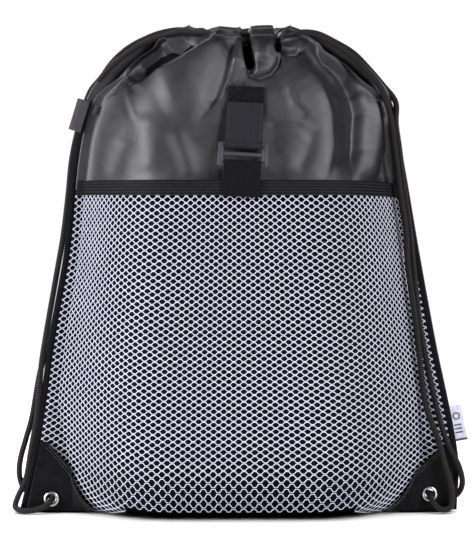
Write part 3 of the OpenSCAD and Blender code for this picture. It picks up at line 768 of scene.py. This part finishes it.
def folded_skin(u, s, face):
    """The panel's visible surface: the CAD surface with its folds, and the mask of painted shade in its deep
    pleats.
    """
    base = lifted(u, s, face, 0)
    normal = sample(SKIN_NORMAL[face], u, s)
    x, z = base[..., 0], base[..., 2]
    folds, pleat_shade = fold_height(x, z, FRONT_FOLDS if face == FRONT else BACK_FOLDS)
    seam = smooth((1 - np.abs(u)) / 0.08)
    height = folds + ripple(x, z, 3 if face == FRONT else 8) * seam * smooth((s - 30) / 40)
    if face == FRONT:
        clear = smooth((z - 262) / 30)
        under_strap = smooth((20 - np.abs(x - 3)) / 4) * smooth((360 - z) / 6)
        height = np.where(height > 0, height * clear, height * (0.35 + 0.65 * clear))
        height = np.where(height > 0, height * (1 - under_strap), height)
    limit = 8 - 5.5 * smooth((s - 408) / 30)
    height = np.where(height > 0, limit * np.tanh(height / limit),
                      height * (1 - 0.5 * smooth((s - 428) / 18)))
    height *= np.where(s > SLIT_START, 1, seam)
    out = base + height[..., None] * normal
    at_edge = np.abs(u) ** 8
    reach = at_edge * (6.0 * smooth((s - 338) / 12) if face == BACK else 4.5 * smooth((s - 408) / 12))
    away = np.stack([out[..., 0], 0 * s, out[..., 2] - 300], -1)
    out += reach[..., None] * away / np.linalg.norm(away, axis=-1)[..., None]
    if face == BACK:
        free = at_edge * smooth((s - 338) / 12) * smooth((450 - s) / 20)
        out[..., 1] += (1.5 - out[..., 1]) * free
    least = np.minimum(2.0 + 3.0 * smooth((1 - np.abs(u)) / 0.3), face * base[..., 1])
    keep = face * out[..., 1] if face == FRONT else np.where(np.abs(u) > 0.9, 99, face * out[..., 1])
    out[..., 1] = np.where(keep < least, face * least, out[..., 1])
    return out, pleat_shade * seam


PANEL_COLUMNS = 281


def panel_rows(top):
    return np.concatenate([np.arange(0, 60, 4.0), np.arange(60, 262, 7.0), np.linspace(262, top, 116)])


def paint_shaded_parts(obj, pleat_shade):
    """Gives the cloth inside deep pleats and behind the net a darker, less glossy copy of the nylon, as
    painted shade.
    """
    mesh = obj.data
    mesh.materials.append(FINISH["painted_shade"])
    heights = np.empty(3 * len(mesh.vertices))
    mesh.attributes["flat"].data.foreach_get("vector", heights)
    # painted shade: faces under the net's top and in deep pleats take the darker copy
    shaded = (heights.reshape(-1, 3)[:, 1] < POCKET_TOP + 4) | (pleat_shade.ravel()[USED[obj.name]] > 0.5)
    starts, corners = np.empty(len(mesh.polygons), int), np.empty(len(mesh.loops), int)
    mesh.polygons.foreach_get("loop_start", starts)
    mesh.loops.foreach_get("vertex_index", corners)
    mesh.polygons.foreach_set("material_index", shaded[corners[starts]].astype(int))


def make_panel(face):
    us, ss = np.linspace(-1, 1, PANEL_COLUMNS), panel_rows(441.5)
    u, s = np.meshgrid(us, ss)
    outer, pleat_shade = folded_skin(u, s, face)
    normal = grid_normals(outer, face)
    flat = np.stack([u * 180, s, 0 * s], -1)
    name = "front_cloth" if face == FRONT else "back_cloth"
    obj = closed_sheet(name, outer, outer - 0.5 * normal, flat, flip=face == BACK, holes=EYELET_HOLES)
    set_float(obj, "pleat_shade", np.concatenate([pleat_shade.ravel()] * 2))
    node = "front_panel" if face == FRONT else "back_panel"
    dress(obj, "front" if face == FRONT else "back", "bag", node, slot="panel_cloth")
    if face == FRONT:
        # painted shade: deep pleats and the cloth under the net get the darker copy of the nylon
        paint_shaded_parts(obj, np.concatenate([pleat_shade] * 2))
    return obj


def make_hem(face):
    """The channel's cloth: on from the panel's top, over the cords and down inside."""
    us = np.linspace(-1, 1, PANEL_COLUMNS)
    u, s = np.meshgrid(us, np.linspace(440, 456, 12))
    outer, pleat_shade = folded_skin(u, s, face)
    outer = outer + 0.4 * smooth((s - 440) / 3)[..., None] * grid_normals(outer, face)
    wall = outer[-1]
    deep = np.array([0.0, -face * 1.0, 0.0])
    radius = np.minimum(3.4, (np.abs(wall[:, 1]) - 0.5) / 2)[:, None]
    rows = [row for row in outer]
    for angle in np.linspace(0, math.pi, 9)[1:]:
        rows.append(wall + radius * (1 - math.cos(angle)) * deep + radius * math.sin(angle) * [0, 0, 1])
    for drop in np.linspace(0, 12, 6)[1:]:
        rows.append(rows[len(outer) + 7] - [0, 0, drop])
    points = np.array(rows)
    heights = np.linspace(440, 500, len(points))
    flat = np.stack(np.broadcast_arrays(us[None] * 180, heights[:, None], 0.0), -1)
    normal = grid_normals(points, face)
    obj = closed_sheet("front_hem" if face == FRONT else "back_hem", points, points - 0.5 * normal, flat,
                       flip=face == BACK)
    hem_pleat_shade = np.concatenate([pleat_shade, np.repeat(pleat_shade[-1:], len(points) - len(pleat_shade), axis=0)])
    set_float(obj, "pleat_shade", np.concatenate([hem_pleat_shade.ravel()] * 2))
    node = "front_channel" if face == FRONT else "back_channel"
    dress(obj, "front" if face == FRONT else "back", "bag", node, slot="panel_cloth")
    return obj


for face in (FRONT, BACK):
    make_panel(face)
    make_hem(face)


# ---- Net pocket ----

NET_COLUMNS, NET_HALF_PITCH, NET_ROW, NET_LINK = 46, 3.9, 2.7, 2.3
NET_THREAD = (0.37, 0.34)


def thread_line(j):
    """Shares across and heights of one zigzag; it runs beside its neighbours at the knots."""
    us, ss = [], []
    for k in range(-NET_COLUMNS, NET_COLUMNS + 1):
        row = j if (k + j) % 2 else j + 1
        lean = 0.45 if row == j else -0.45
        for run in (-0.5, 0.5):
            us.append((k * NET_HALF_PITCH + run * NET_LINK) / 180)
            ss.append(row * NET_ROW + lean)
    u, s = np.clip(us, -0.998, 0.998), np.array(ss)
    return u, s, (s > ground_clear(u, LAYER_GAP + UNDER_SLACK + NET_THICK) - 1.5) & (s > 0.5)


def make_net():
    """Threads that zigzag across the pocket and meet their neighbours at knots."""
    sides = 5
    turn = 2 * np.pi * (np.arange(sides) + 0.5) / sides
    points, flats, quads, caps, start = [], [], [], [], 0
    for j in range(0, int(POCKET_TOP / NET_ROW) + 1):
        u, s, clear = thread_line(j)
        line = lifted(u, s, FRONT, pocket_lift(u, s) + NET_THICK / 2)
        line[:, 2] = np.maximum(line[:, 2], 0.9)
        out = sample(SKIN_NORMAL[FRONT], u, s)
        side = np.cross(np.gradient(line, axis=0), out)
        side /= np.linalg.norm(side, axis=1)[:, None]
        for x, z, radius in EYELET_HOLES:
            clear &= np.hypot(line[:, 0] - x, line[:, 2] - z) > radius + 0.5
        cuts = np.flatnonzero(np.diff(clear.astype(int))) + 1
        for run in np.split(np.arange(len(line)), cuts):
            if len(run) < 4 or not clear[run[0]]:
                continue
            rings = (line[run, None] + NET_THREAD[0] * np.cos(turn)[None, :, None] * side[run, None]
                     + NET_THREAD[1] * np.sin(turn)[None, :, None] * out[run, None])
            points.append(rings.reshape(-1, 3))
            flats.append(np.repeat(np.stack([u * 180, s, 0 * s], -1)[run], sides, axis=0))
            quads.append(start + grid_faces(len(run), sides, wrap=True, flip=True))
            last = start + (len(run) - 1) * sides
            caps.append([[start + k for k in range(sides)], [last + k for k in range(sides - 1, -1, -1)]])
            start += len(run) * sides
    obj = make_mesh("net_pocket", np.concatenate(points), [np.concatenate(quads), np.concatenate(caps)],
                    np.concatenate(flats))
    dress(obj, "net", "bag", "mesh_pocket", slot="net")
    return obj


def make_binding():
    """Ribbed elastic, folded over the net's top edge."""
    ribs, cols = 5, 361
    us = np.linspace(-0.995, 0.995, cols)
    ss = POCKET_TOP + 0.3 + BINDING_HIGH * np.linspace(-0.04, 1, 41)
    u, s = np.meshgrid(us, ss)
    share = (s - ss[0]) / (ss[-1] - ss[0])
    ridge = np.abs(np.sin(math.pi * ribs * share)) ** 0.7
    edge = smooth(share / 0.05) * smooth((1 - share) / 0.05)
    gather = 0.12 * np.sin(u * 180 * 2 * math.pi / 3.1 + 1.3 * np.sin(u * 31))
    lift = pocket_lift(u, s) + BINDING_THICK * (0.35 + 0.65 * edge) - 0.45 + (0.5 * ridge + gather) * edge
    outer = lifted(u, s, FRONT, lift)
    inner = lifted(u, s, FRONT, pocket_lift(u, s) + 0.1)
    obj = closed_sheet("pocket_elastic", outer, inner, np.stack([u * 180, s - ss[0], 0 * s], -1))
    dress(obj, "elastic", "bag", "pocket_binding", slot="elastic")
    return obj


make_net()
make_binding()


# ---- Stitches ----

def make_stitches(name, line, normals, body, long=2.6, gap=0.9, radius=0.3, slot="thread"):
    """A row of short threads that dip into the cloth at both ends."""
    line, normals = np.asarray(line, float), np.asarray(normals, float)
    run = np.concatenate([[0], np.cumsum(np.linalg.norm(np.diff(line, axis=0), axis=1))])
    at = lambda rows, t: np.stack([np.interp(t, run, rows[:, k]) for k in range(3)], -1)
    paths = []
    for begin in np.arange(0.5, run[-1] - long, long + gap):
        t = np.linspace(begin, begin + long, 6)
        rise = radius * 1.2 * np.sin(np.linspace(0, math.pi, 6)) ** 0.6 - 0.1
        paths.append(at(line, t) + rise[:, None] * at(normals, t))
    obj = make_mesh(name, *joined_tubes(paths, [radius] * len(paths), 6))
    return dress(obj, "thread", body, slot=slot)


# ---- Closure strap ----

SLIDER_AT, STRAP_LEAN, STRAP_TILT = (3.5, -68, 299), math.radians(21), math.radians(3)
STRAP_W, STRAP_THICK, TOP_BAR, FOLD_R = 30, 1.4, 8.8, 3.3
SLIDER_W, SLIDER_HIGH, SLIDER_THICK, SLIDER_SIDE, SLIDER_BAR = 40.5, 21, 2.6, 4.5, 3.4


def at_strap(across, out, up):
    """Points about the slider's middle, as the closure strap leans and tilts."""
    across, out, up = np.broadcast_arrays(*(np.asarray(v, float) for v in (across, out, up)))
    y = -out * math.cos(STRAP_LEAN) + up * math.sin(STRAP_LEAN)
    z = out * math.sin(STRAP_LEAN) + up * math.cos(STRAP_LEAN)
    x = across * math.cos(STRAP_TILT) + z * math.sin(STRAP_TILT)
    return np.stack([x, y, z * math.cos(STRAP_TILT) - across * math.sin(STRAP_TILT)], -1) + SLIDER_AT


def webbing(name, line, finish, body, node, pitch=1.0, relief=0.12, half_w=STRAP_W / 2):
    """Woven tape along a line of [outwards, up] with raised threads and firm edges."""
    fine, _ = smooth_path([[out, up, 0] for out, up in line], 0.5)
    cols = np.linspace(-half_w, half_w, 61)
    run = np.arange(len(fine)) * 0.5
    d = np.gradient(fine, axis=0)
    n = np.stack([d[:, 1], -d[:, 0]], -1) / np.linalg.norm(d[:, :2], axis=1)[:, None]
    check = np.cos(cols[None] * math.pi / pitch) * np.cos(run[:, None] * math.pi / (0.8 * pitch))
    edge = smooth((half_w - np.abs(cols)) / 0.5)[None] * 0.55 + 0.45
    thick = (STRAP_THICK / 2 - relief + relief * check) * edge
    layers = []
    for side in (1, -1):
        out = fine[:, :1] + side * n[:, :1] * thick
        up = fine[:, 1:2] + side * n[:, 1:] * thick
        layers.append(at_strap(cols[None] + 0 * out, out, up))
    flat = np.stack(np.broadcast_arrays(cols[None], run[:, None], 0.0), -1)
    obj = closed_sheet(name, layers[0], layers[1], flat, flip=True)
    dress(obj, finish, body, node, slot="webbing")
    return obj


def arc(middle, radius, start, stop, count=9):
    turn = np.radians(np.linspace(start, stop, count))
    return [[middle[0] + radius * math.cos(a), middle[1] + radius * math.sin(a)] for a in turn]


FRAYED_THREADS = 16


def fuzz(name, low, high, count, seed):
    """Brushed loops on the strap's patch and the threads that fray from its top corner."""
    rng = np.random.default_rng(seed)
    paths, radii = [], []
    for k in range(count):
        fray = k < FRAYED_THREADS
        across = rng.uniform(-14.5, 2) if fray else rng.uniform(-14.6, 14.6)
        up = high - 0.4 if fray else rng.uniform(low, high)
        reach = rng.uniform(2.5, 6.5) if fray else rng.uniform(0.5, 1.0)
        swing = rng.uniform(-2.5, 1.5) if fray else rng.uniform(-0.8, 0.8)
        t = np.linspace(0, 1, 6)
        if fray:
            paths.append(at_strap(across + swing * t ** 2, -1.0 + 0.6 * t, up + reach * t))
        else:
            rise = -0.9 + reach * np.sin(math.pi * t)
            paths.append(at_strap(across + swing * t, rise, up + rng.uniform(-0.7, 0.7) * t))
        radii.append(0.17 if fray else 0.13)
    points, faces = joined_tubes(paths, radii, 4)
    obj = make_mesh(name, points, faces, points)
    return dress(obj, "loop", "bag", slot="webbing")


def make_strap():
    webbing("strap_loop_side", [[-3.3, 9.1], [-1.4, 45], [-1.3, 60]], "loop", "bag", "loop_strap", 1.5, 0.2)
    fuzz("loop_fuzz", 45.5, 60, 900, 5)
    webbing("strap_hook_side", [[3.3, 9.1], [2.0, 27], [0.4, 45]], "hook", "flap", "hook_flap", 1.05, 0.1)
    webbing("strap_turn", arc((0, TOP_BAR), FOLD_R, 180, 360), "hook", "slider", "strap_fold", 1.05, 0.1)
    tail = [[-3, -35], [-1.2, -27], [1.2, -19], [3.0, -11.5]]
    webbing("strap_anchor", tail + arc((0, -TOP_BAR), FOLD_R, 0, 290, 15), "anchor", "bag", "anchor_webbing",
            1.4, 0.14)
    for side in (-1, 1):
        ups = np.linspace(12, 44, 40)
        outs = np.interp(ups, [9.1, 27, 45], [3.3, 2.0, 0.4]) + STRAP_THICK / 2
        line = at_strap(side * 13.2, outs, ups)
        away = at_strap(0, 1, 0) - at_strap(0, 0, 0)
        make_stitches("strap_stitch_" + ("left" if side < 0 else "right"), line, away + 0 * line, "flap",
                      1.6, 0.7, 0.16)


def make_slider():
    """A moulded frame with a bar across its middle; its side bars are a little raised there."""
    side_x, high, sides = SLIDER_W / 2 - SLIDER_SIDE / 2, SLIDER_HIGH / 2, 20
    bars = [([x, -high], [x, high], SLIDER_SIDE / 2, 0.7) for x in (-side_x, side_x)]
    bars += [([-side_x, up], [side_x, up], SLIDER_BAR / 2, 0.0) for up in (-TOP_BAR, 0, TOP_BAR)]
    turn = 2 * np.pi * np.arange(sides) / sides
    round_a = np.sign(np.cos(turn)) * np.abs(np.cos(turn)) ** 0.6
    round_b = np.sign(np.sin(turn)) * np.abs(np.sin(turn)) ** 0.6
    share = 0.5 - 0.5 * np.cos(np.linspace(0, math.pi, 33))
    points, quads, caps = [], [], []
    for k, (start, stop, half, raised) in enumerate(bars):
        start, stop = np.array(start, float), np.array(stop, float)
        size = np.linalg.norm(stop - start)
        ahead = (stop - start) / size
        near = np.clip(np.minimum(share, 1 - share) * size / 1.8, 0, 1)
        shrink = np.maximum(np.sqrt(1 - (1 - near) ** 2), 0.05)[:, None]
        middle = start + share[:, None] * (stop - start)
        wide = half * shrink * round_a
        thick = (SLIDER_THICK / 2 + raised * np.exp(-((share - 0.5) / 0.2) ** 2)[:, None]) * shrink * round_b
        ring = at_strap(middle[:, :1] - ahead[1] * wide, thick, middle[:, 1:] + ahead[0] * wide)
        points.append(ring.reshape(-1, 3))
        first, last = k * len(share) * sides, (k + 1) * len(share) * sides - sides
        quads.append(first + grid_faces(len(share), sides, wrap=True, flip=True))
        caps.append([[first + i for i in range(sides)], [last + i for i in range(sides - 1, -1, -1)]])
    obj = make_mesh("slider_frame", np.concatenate(points), [np.concatenate(quads), np.concatenate(caps)])
    dress(obj, "plastic", "slider", "slider", slot="buckle_plastic")


make_strap()
make_slider()


# ---- Corners ----

def make_patch(face, side):
    """A leatherette triangle over a bottom corner, turned in at its long edge and sewn twice."""
    hand = LEFT if side == "left" else RIGHT
    rows, cols = 49, 49
    up, over = np.meshgrid(np.linspace(0, 1, rows), np.linspace(0, 1, cols), indexing="ij")
    wide = (PATCH_W / 180 - 0.03) * (1 - up) + 0.03
    u = hand * (1 - wide * over)
    low = ground_clear(u, patch_reach(u, 0, face) + PATCH_THICK)
    s = low + (PATCH_HIGH - low) * up
    rim = smooth((1 - over) * wide * 180 / 3.5) * 0.35
    dent = 0.22 * np.exp(-(((1 - over) * wide * 180 - 3.0) / 0.9) ** 2)
    reach = patch_reach(u, s, face)
    wave = 0.25 * np.sin(u * 47 + s * 0.11) * np.sin(s * 0.17) * smooth(over * 6) * smooth((1 - over) * 6)
    outer = lifted(u, s, face, reach + PATCH_THICK - rim - dent + wave * 0.5)
    inner = lifted(u, s, face, reach + 0.1)
    outer[..., 2], inner[..., 2] = np.maximum(outer[..., 2], 0.4), np.maximum(inner[..., 2], 0.3)
    flat = np.stack([u * 180, s, 0 * s], -1)
    name = ("front" if face == FRONT else "back") + "_corner_" + side
    x, z = EYELETS[side]
    flip = (face == BACK) != (hand == RIGHT)
    obj = closed_sheet(name, outer, inner, flat, flip=not flip, holes=[(x, z, EYELET_HOLES[0][2])])
    node = "patch_" + ("front_" if face == FRONT else "back_") + side
    dress(obj, "leather", "bag", node, slot="corner_leatherette")
    for row, inset in enumerate((2.2, 4.8)):
        t = np.linspace(0.03, 0.95, 60)
        wide_t = (PATCH_W / 180 - 0.03) * (1 - t) + 0.03
        ut = hand * (1 - wide_t + inset / 180)
        low_t = ground_clear(ut, patch_reach(ut, 0, face) + PATCH_THICK)
        st = low_t + (PATCH_HIGH - low_t) * t
        line = lifted(ut, st, face, patch_reach(ut, st, face) + PATCH_THICK - 0.25)
        normal = sample(SKIN_NORMAL[face], ut, st)
        make_stitches(f"{name}_stitch_{row}", line, normal, "bag", 2.4, 0.9, 0.28)
    return obj


def turned(name, middle, profile, finish, node, slot):
    """A ring turned about an axis along Y from a closed profile of [radius, distance to the front]."""
    profile = np.asarray(profile, float)
    steps = 64
    turn = 2 * np.pi * np.arange(steps) / steps
    points = np.stack([middle[0] + np.cos(turn)[:, None] * profile[None, :, 0],
                       np.broadcast_to(-profile[None, :, 1], (steps, len(profile))),
                       middle[1] + np.sin(turn)[:, None] * profile[None, :, 0]], -1)
    r, c = np.meshgrid(np.arange(steps), np.arange(len(profile)), indexing="ij")
    n, m = len(profile), steps
    a, b = r * n + c, r * n + (c + 1) % n
    d, e = (r + 1) % m * n + c, (r + 1) % m * n + (c + 1) % n
    faces = np.stack([a, b, e, d], -1).reshape(-1, 4)
    return dress(make_mesh(name, points, faces), finish, "bag", node, slot=slot)


def make_eyelet(side):
    front, back, bore, rim = EYELET_FRONT, -EYELET_BACK, EYELET_BORE, EYELET_FLANGE
    curl = [[bore, front - 0.6], [bore + 0.08, front + 0.3], [bore + 0.45, front + 0.95],
            [bore + 1.15, front + 1.2], [bore + 1.85, front + 0.98], [rim - 0.1, front + 0.45],
            [rim, front + 0.08], [rim - 0.15, front], [bore + EYELET_WALL, front],
            [bore + EYELET_WALL, back], [bore, back]]
    turned("eyelet_ring_" + side, EYELETS[side], curl, "metal", "eyelet_" + side, "nickel")
    low, high = back - 1.2, back
    washer = [[bore, high], [rim - 0.1, high], [rim, high - 0.25], [rim - 0.3, low + 0.2], [rim - 0.9, low],
              [bore + 0.5, low + 0.1], [bore + 0.1, low + 0.35]]
    turned("washer_ring_" + side, EYELETS[side], washer, "metal", "washer_" + side, "nickel")


for side in ("left", "right"):
    for face in (FRONT, BACK):
        make_patch(face, side)
    make_eyelet(side)


# ---- Seams and trim on them ----

SEAM_R, SEAM_WIDEN = 1.6, 2.0


def bead_at(s, hand):
    edge = edge_at(s, hand)
    x = hand * (edge[..., 1] + SEAM_R + 0.3)
    return np.stack([x, 0 * x, edge[..., 2]], -1)


def make_side_seam(side):
    """The overlocked edge of both panels, with its threads wound across it."""
    hand = LEFT if side == "left" else RIGHT
    line = bead_at(np.linspace(2, SLIT_START - 2, 700), hand)
    run = np.arange(len(line)) * 0.5
    turn = 2 * np.pi * np.arange(12) / 12
    ribs = np.cos(2 * math.pi * run[:, None] / 2.0 + turn[None])
    points, faces = capped_tube(line, SEAM_R * (0.92 + 0.08 * ribs), 12)
    middle = np.concatenate([np.repeat(line, 12, axis=0), line[[0, -1]]])
    points = middle + [0.5 * hand, 0, 0] + (points - middle) * [SEAM_WIDEN, 1, 1]
    flat = np.stack(np.broadcast_arrays(turn[None] * SEAM_R, run[:, None], 0.0), -1).reshape(-1, 3)
    obj = make_mesh("seam_edge_" + side, points, faces, np.concatenate([flat, flat[:1], flat[-1:]]))
    dress(obj, "seam", "bag", "side_seam_" + side, slot="seam_cloth")


def make_bottom_seam():
    """The turned-in allowance that the bag stands on, uneven along its top."""
    x, v = np.meshgrid(np.linspace(-110, 110, 121), np.linspace(0, 1, 15))
    top = 9.4 + 0.5 * np.sin(x * 0.21) * np.sin(x * 0.057)
    z = v * top
    half = 0.88 * smooth(v / 0.06 + 0.35) * smooth((1 - v) / 0.1 + 0.4)
    bend = 0.02 * np.sin(x * 0.3)
    outer = np.stack([x, bend - half, z], -1)
    inner = np.stack([x, bend + half, z], -1)
    obj = closed_sheet("bottom_allowance", outer, inner, np.stack([x, z, 0 * x], -1))
    dress(obj, "seam", "bag", "bottom_seam", slot="seam_cloth")


def make_bar_tack(side):
    """A close zigzag of thread that stops the side seam from tearing open."""
    hand = LEFT if side == "left" else RIGHT
    paths = []
    for k, s in enumerate(np.arange(SLIT_START - 13.8, SLIT_START - 5.2, 0.55)):
        t = np.linspace(-0.013, 0.013, 6)
        u = hand * 0.965 + t
        lift = LAYER_GAP + 0.35 + 0.2 * np.sin(np.linspace(0, math.pi, 6))
        paths.append(lifted(u, s + 0.25 * (-1) ** k * t / 0.013, FRONT, lift))
    obj = make_mesh("tack_" + side, *joined_tubes(paths, [0.3] * len(paths), 6))
    dress(obj, "thread", "bag", "bar_tack_" + side, slot="thread")


def at_seam(s, hand, x, y, up):
    """Points about a place on a side seam, with up along the seam."""
    place, d = bead_at(s, hand), bead_at(s + 14.0, hand) - bead_at(s - 14.0, hand)
    lean = math.atan2(d[0], d[2])
    x, y, up = np.broadcast_arrays(*(np.asarray(v, float) for v in (x, y, up)))
    return place + np.stack([x * math.cos(lean) + up * math.sin(lean), y,
                             up * math.cos(lean) - x * math.sin(lean)], -1)


def make_hang_loop():
    """A loop of woven tape, sewn into the left seam."""
    bend, mid_r, thick = 10.6 - 5.1, 5.1 - 0.7, 1.4
    line = [[0, -mid_r], [-2.5, -mid_r]] + arc((-bend, 0), mid_r, 270, 90, 13) + [[-2.5, mid_r], [0, mid_r]]
    fine, _ = smooth_path([[x, y, 0] for x, y in line], 0.4)
    d = np.gradient(fine, axis=0)
    n = np.stack([d[:, 1], -d[:, 0]], -1) / np.linalg.norm(d[:, :2], axis=1)[:, None]
    ups = np.linspace(-13.5, 13.5, 61)
    run = np.arange(len(fine)) * 0.4
    check = np.cos(ups[None] * math.pi / 0.9) * np.cos(run[:, None] * math.pi / 0.8)
    edge = smooth((13.5 - np.abs(ups)) / 0.5)[None] * 0.55 + 0.45
    half = (thick / 2 - 0.1 + 0.1 * check) * edge
    layers = [at_seam(334, LEFT, fine[:, :1] + side * n[:, :1] * half, fine[:, 1:2] + side * n[:, 1:] * half,
                      ups[None] + 0 * half) for side in (1, -1)]
    flat = np.stack(np.broadcast_arrays(ups[None], run[:, None], 0.0), -1)
    obj = closed_sheet("loop_tape", layers[1], layers[0], flat)
    dress(obj, "tape", "hang_loop", "hang_loop", slot="webbing")


def make_label():
    """A folded satin label in the right seam, with a plain ring and bars for a mark."""
    start, reach, high = SEAM_R + 0.4, 13.0, 30.0
    x, up = np.meshgrid(np.linspace(start, reach, 23), np.linspace(-high / 2, high / 2, 45))
    share = (x - start) / (reach - start)
    curl = 0.7 * share ** 2 * np.sin(up / high * math.pi * 0.9) - 0.5 * share ** 2
    half = 0.3 * (0.6 + 0.4 * smooth((1 - share) * 8))
    layers = [at_seam(76, RIGHT, x, curl - side * half, up) for side in (1, -1)]
    flat = np.stack([x, up + high / 2, 0 * x], -1)
    obj = closed_sheet("satin_label", layers[0], layers[1], flat)
    dress(obj, "label", "label", "label", slot="label_satin")


for side in ("left", "right"):
    make_side_seam(side)
    make_bar_tack(side)
make_bottom_seam()
make_hang_loop()
make_label()


# ---- Floor and lights ----

def make_floor():
    """A wide pale disc, just under the bag."""
    radius, turn = np.linspace(1, 1500, 16), 2 * np.pi * np.arange(64) / 64
    radius = radius[:, None]
    rings = np.stack([radius * np.cos(turn), radius * np.sin(turn), 0 * radius * turn], -1)
    centre = np.stack([np.arange(64), np.roll(np.arange(64), -1), np.full(64, 1024)], -1)
    obj = make_mesh("studio_floor", np.concatenate([rings.reshape(-1, 3), [[0, 0, 0]]]),
                    [grid_faces(16, 64, wrap=True, flip=True), centre])
    obj.data.materials.append(FINISH["floor"])
    return obj


def area_light(name, place, target, size, power, colour=(0.93, 0.925, 1.0)):
    light = bpy.data.lights.new(name, "AREA")
    light.shape = "RECTANGLE"
    light.size, light.size_y = size
    light.energy = power
    light.color = colour
    obj = bpy.data.objects.new(name, light)
    obj.location = place
    obj.rotation_euler = (Vector(target) - Vector(place)).to_track_quat("-Z", "Y").to_euler()
    bpy.context.scene.collection.objects.link(obj)
    return obj


def lit_by(light, floor, state):
    """Lets a light reach the floor alone, or all but the floor."""
    group = bpy.data.collections.new(light.name + "_reach")
    group.objects.link(floor)
    light.light_linking.receiver_collection = group
    group.collection_objects[0].light_linking.link_state = state


def make_lights(floor):
    """Soft boxes on the bag, one above the floor that leaves the bag alone, and a white room."""
    for name, place, size, power in (
            ("key_left", (-1.7, -0.75, 0.72), (0.8, 1.3), 78),
            ("fill_right", (1.3, -1.2, 1.05), (0.7, 1.0), 54),
            ("behind", (-0.8, 1.7, 1.2), (0.8, 1.0), 30)):
        lit_by(area_light(name, place, (0, 0, 0.25), size, power), floor, "EXCLUDE")
    lit_by(area_light("sweep", (0, 0, 1.6), (0, 0, 0), (3.4, 3.4), 135, (1, 1, 1)), floor, "INCLUDE")
    world = bpy.data.worlds.new("studio")
    world.use_nodes = True
    nodes, links = world.node_tree.nodes, world.node_tree.links
    seen, strength = nodes.new("ShaderNodeLightPath"), nodes.new("ShaderNodeMath")
    strength.operation = "MULTIPLY_ADD"
    strength.inputs[1].default_value, strength.inputs[2].default_value = 1.0, 0.02
    links.new(seen.outputs["Is Camera Ray"], strength.inputs[0])
    links.new(strength.outputs[0], nodes["Background"].inputs["Strength"])
    nodes["Background"].inputs["Color"].default_value = rgb(1.0, 1.0, 1.0)
    bpy.context.scene.world = world
    bpy.context.scene.view_settings.view_transform = "Standard"


make_lights(make_floor())
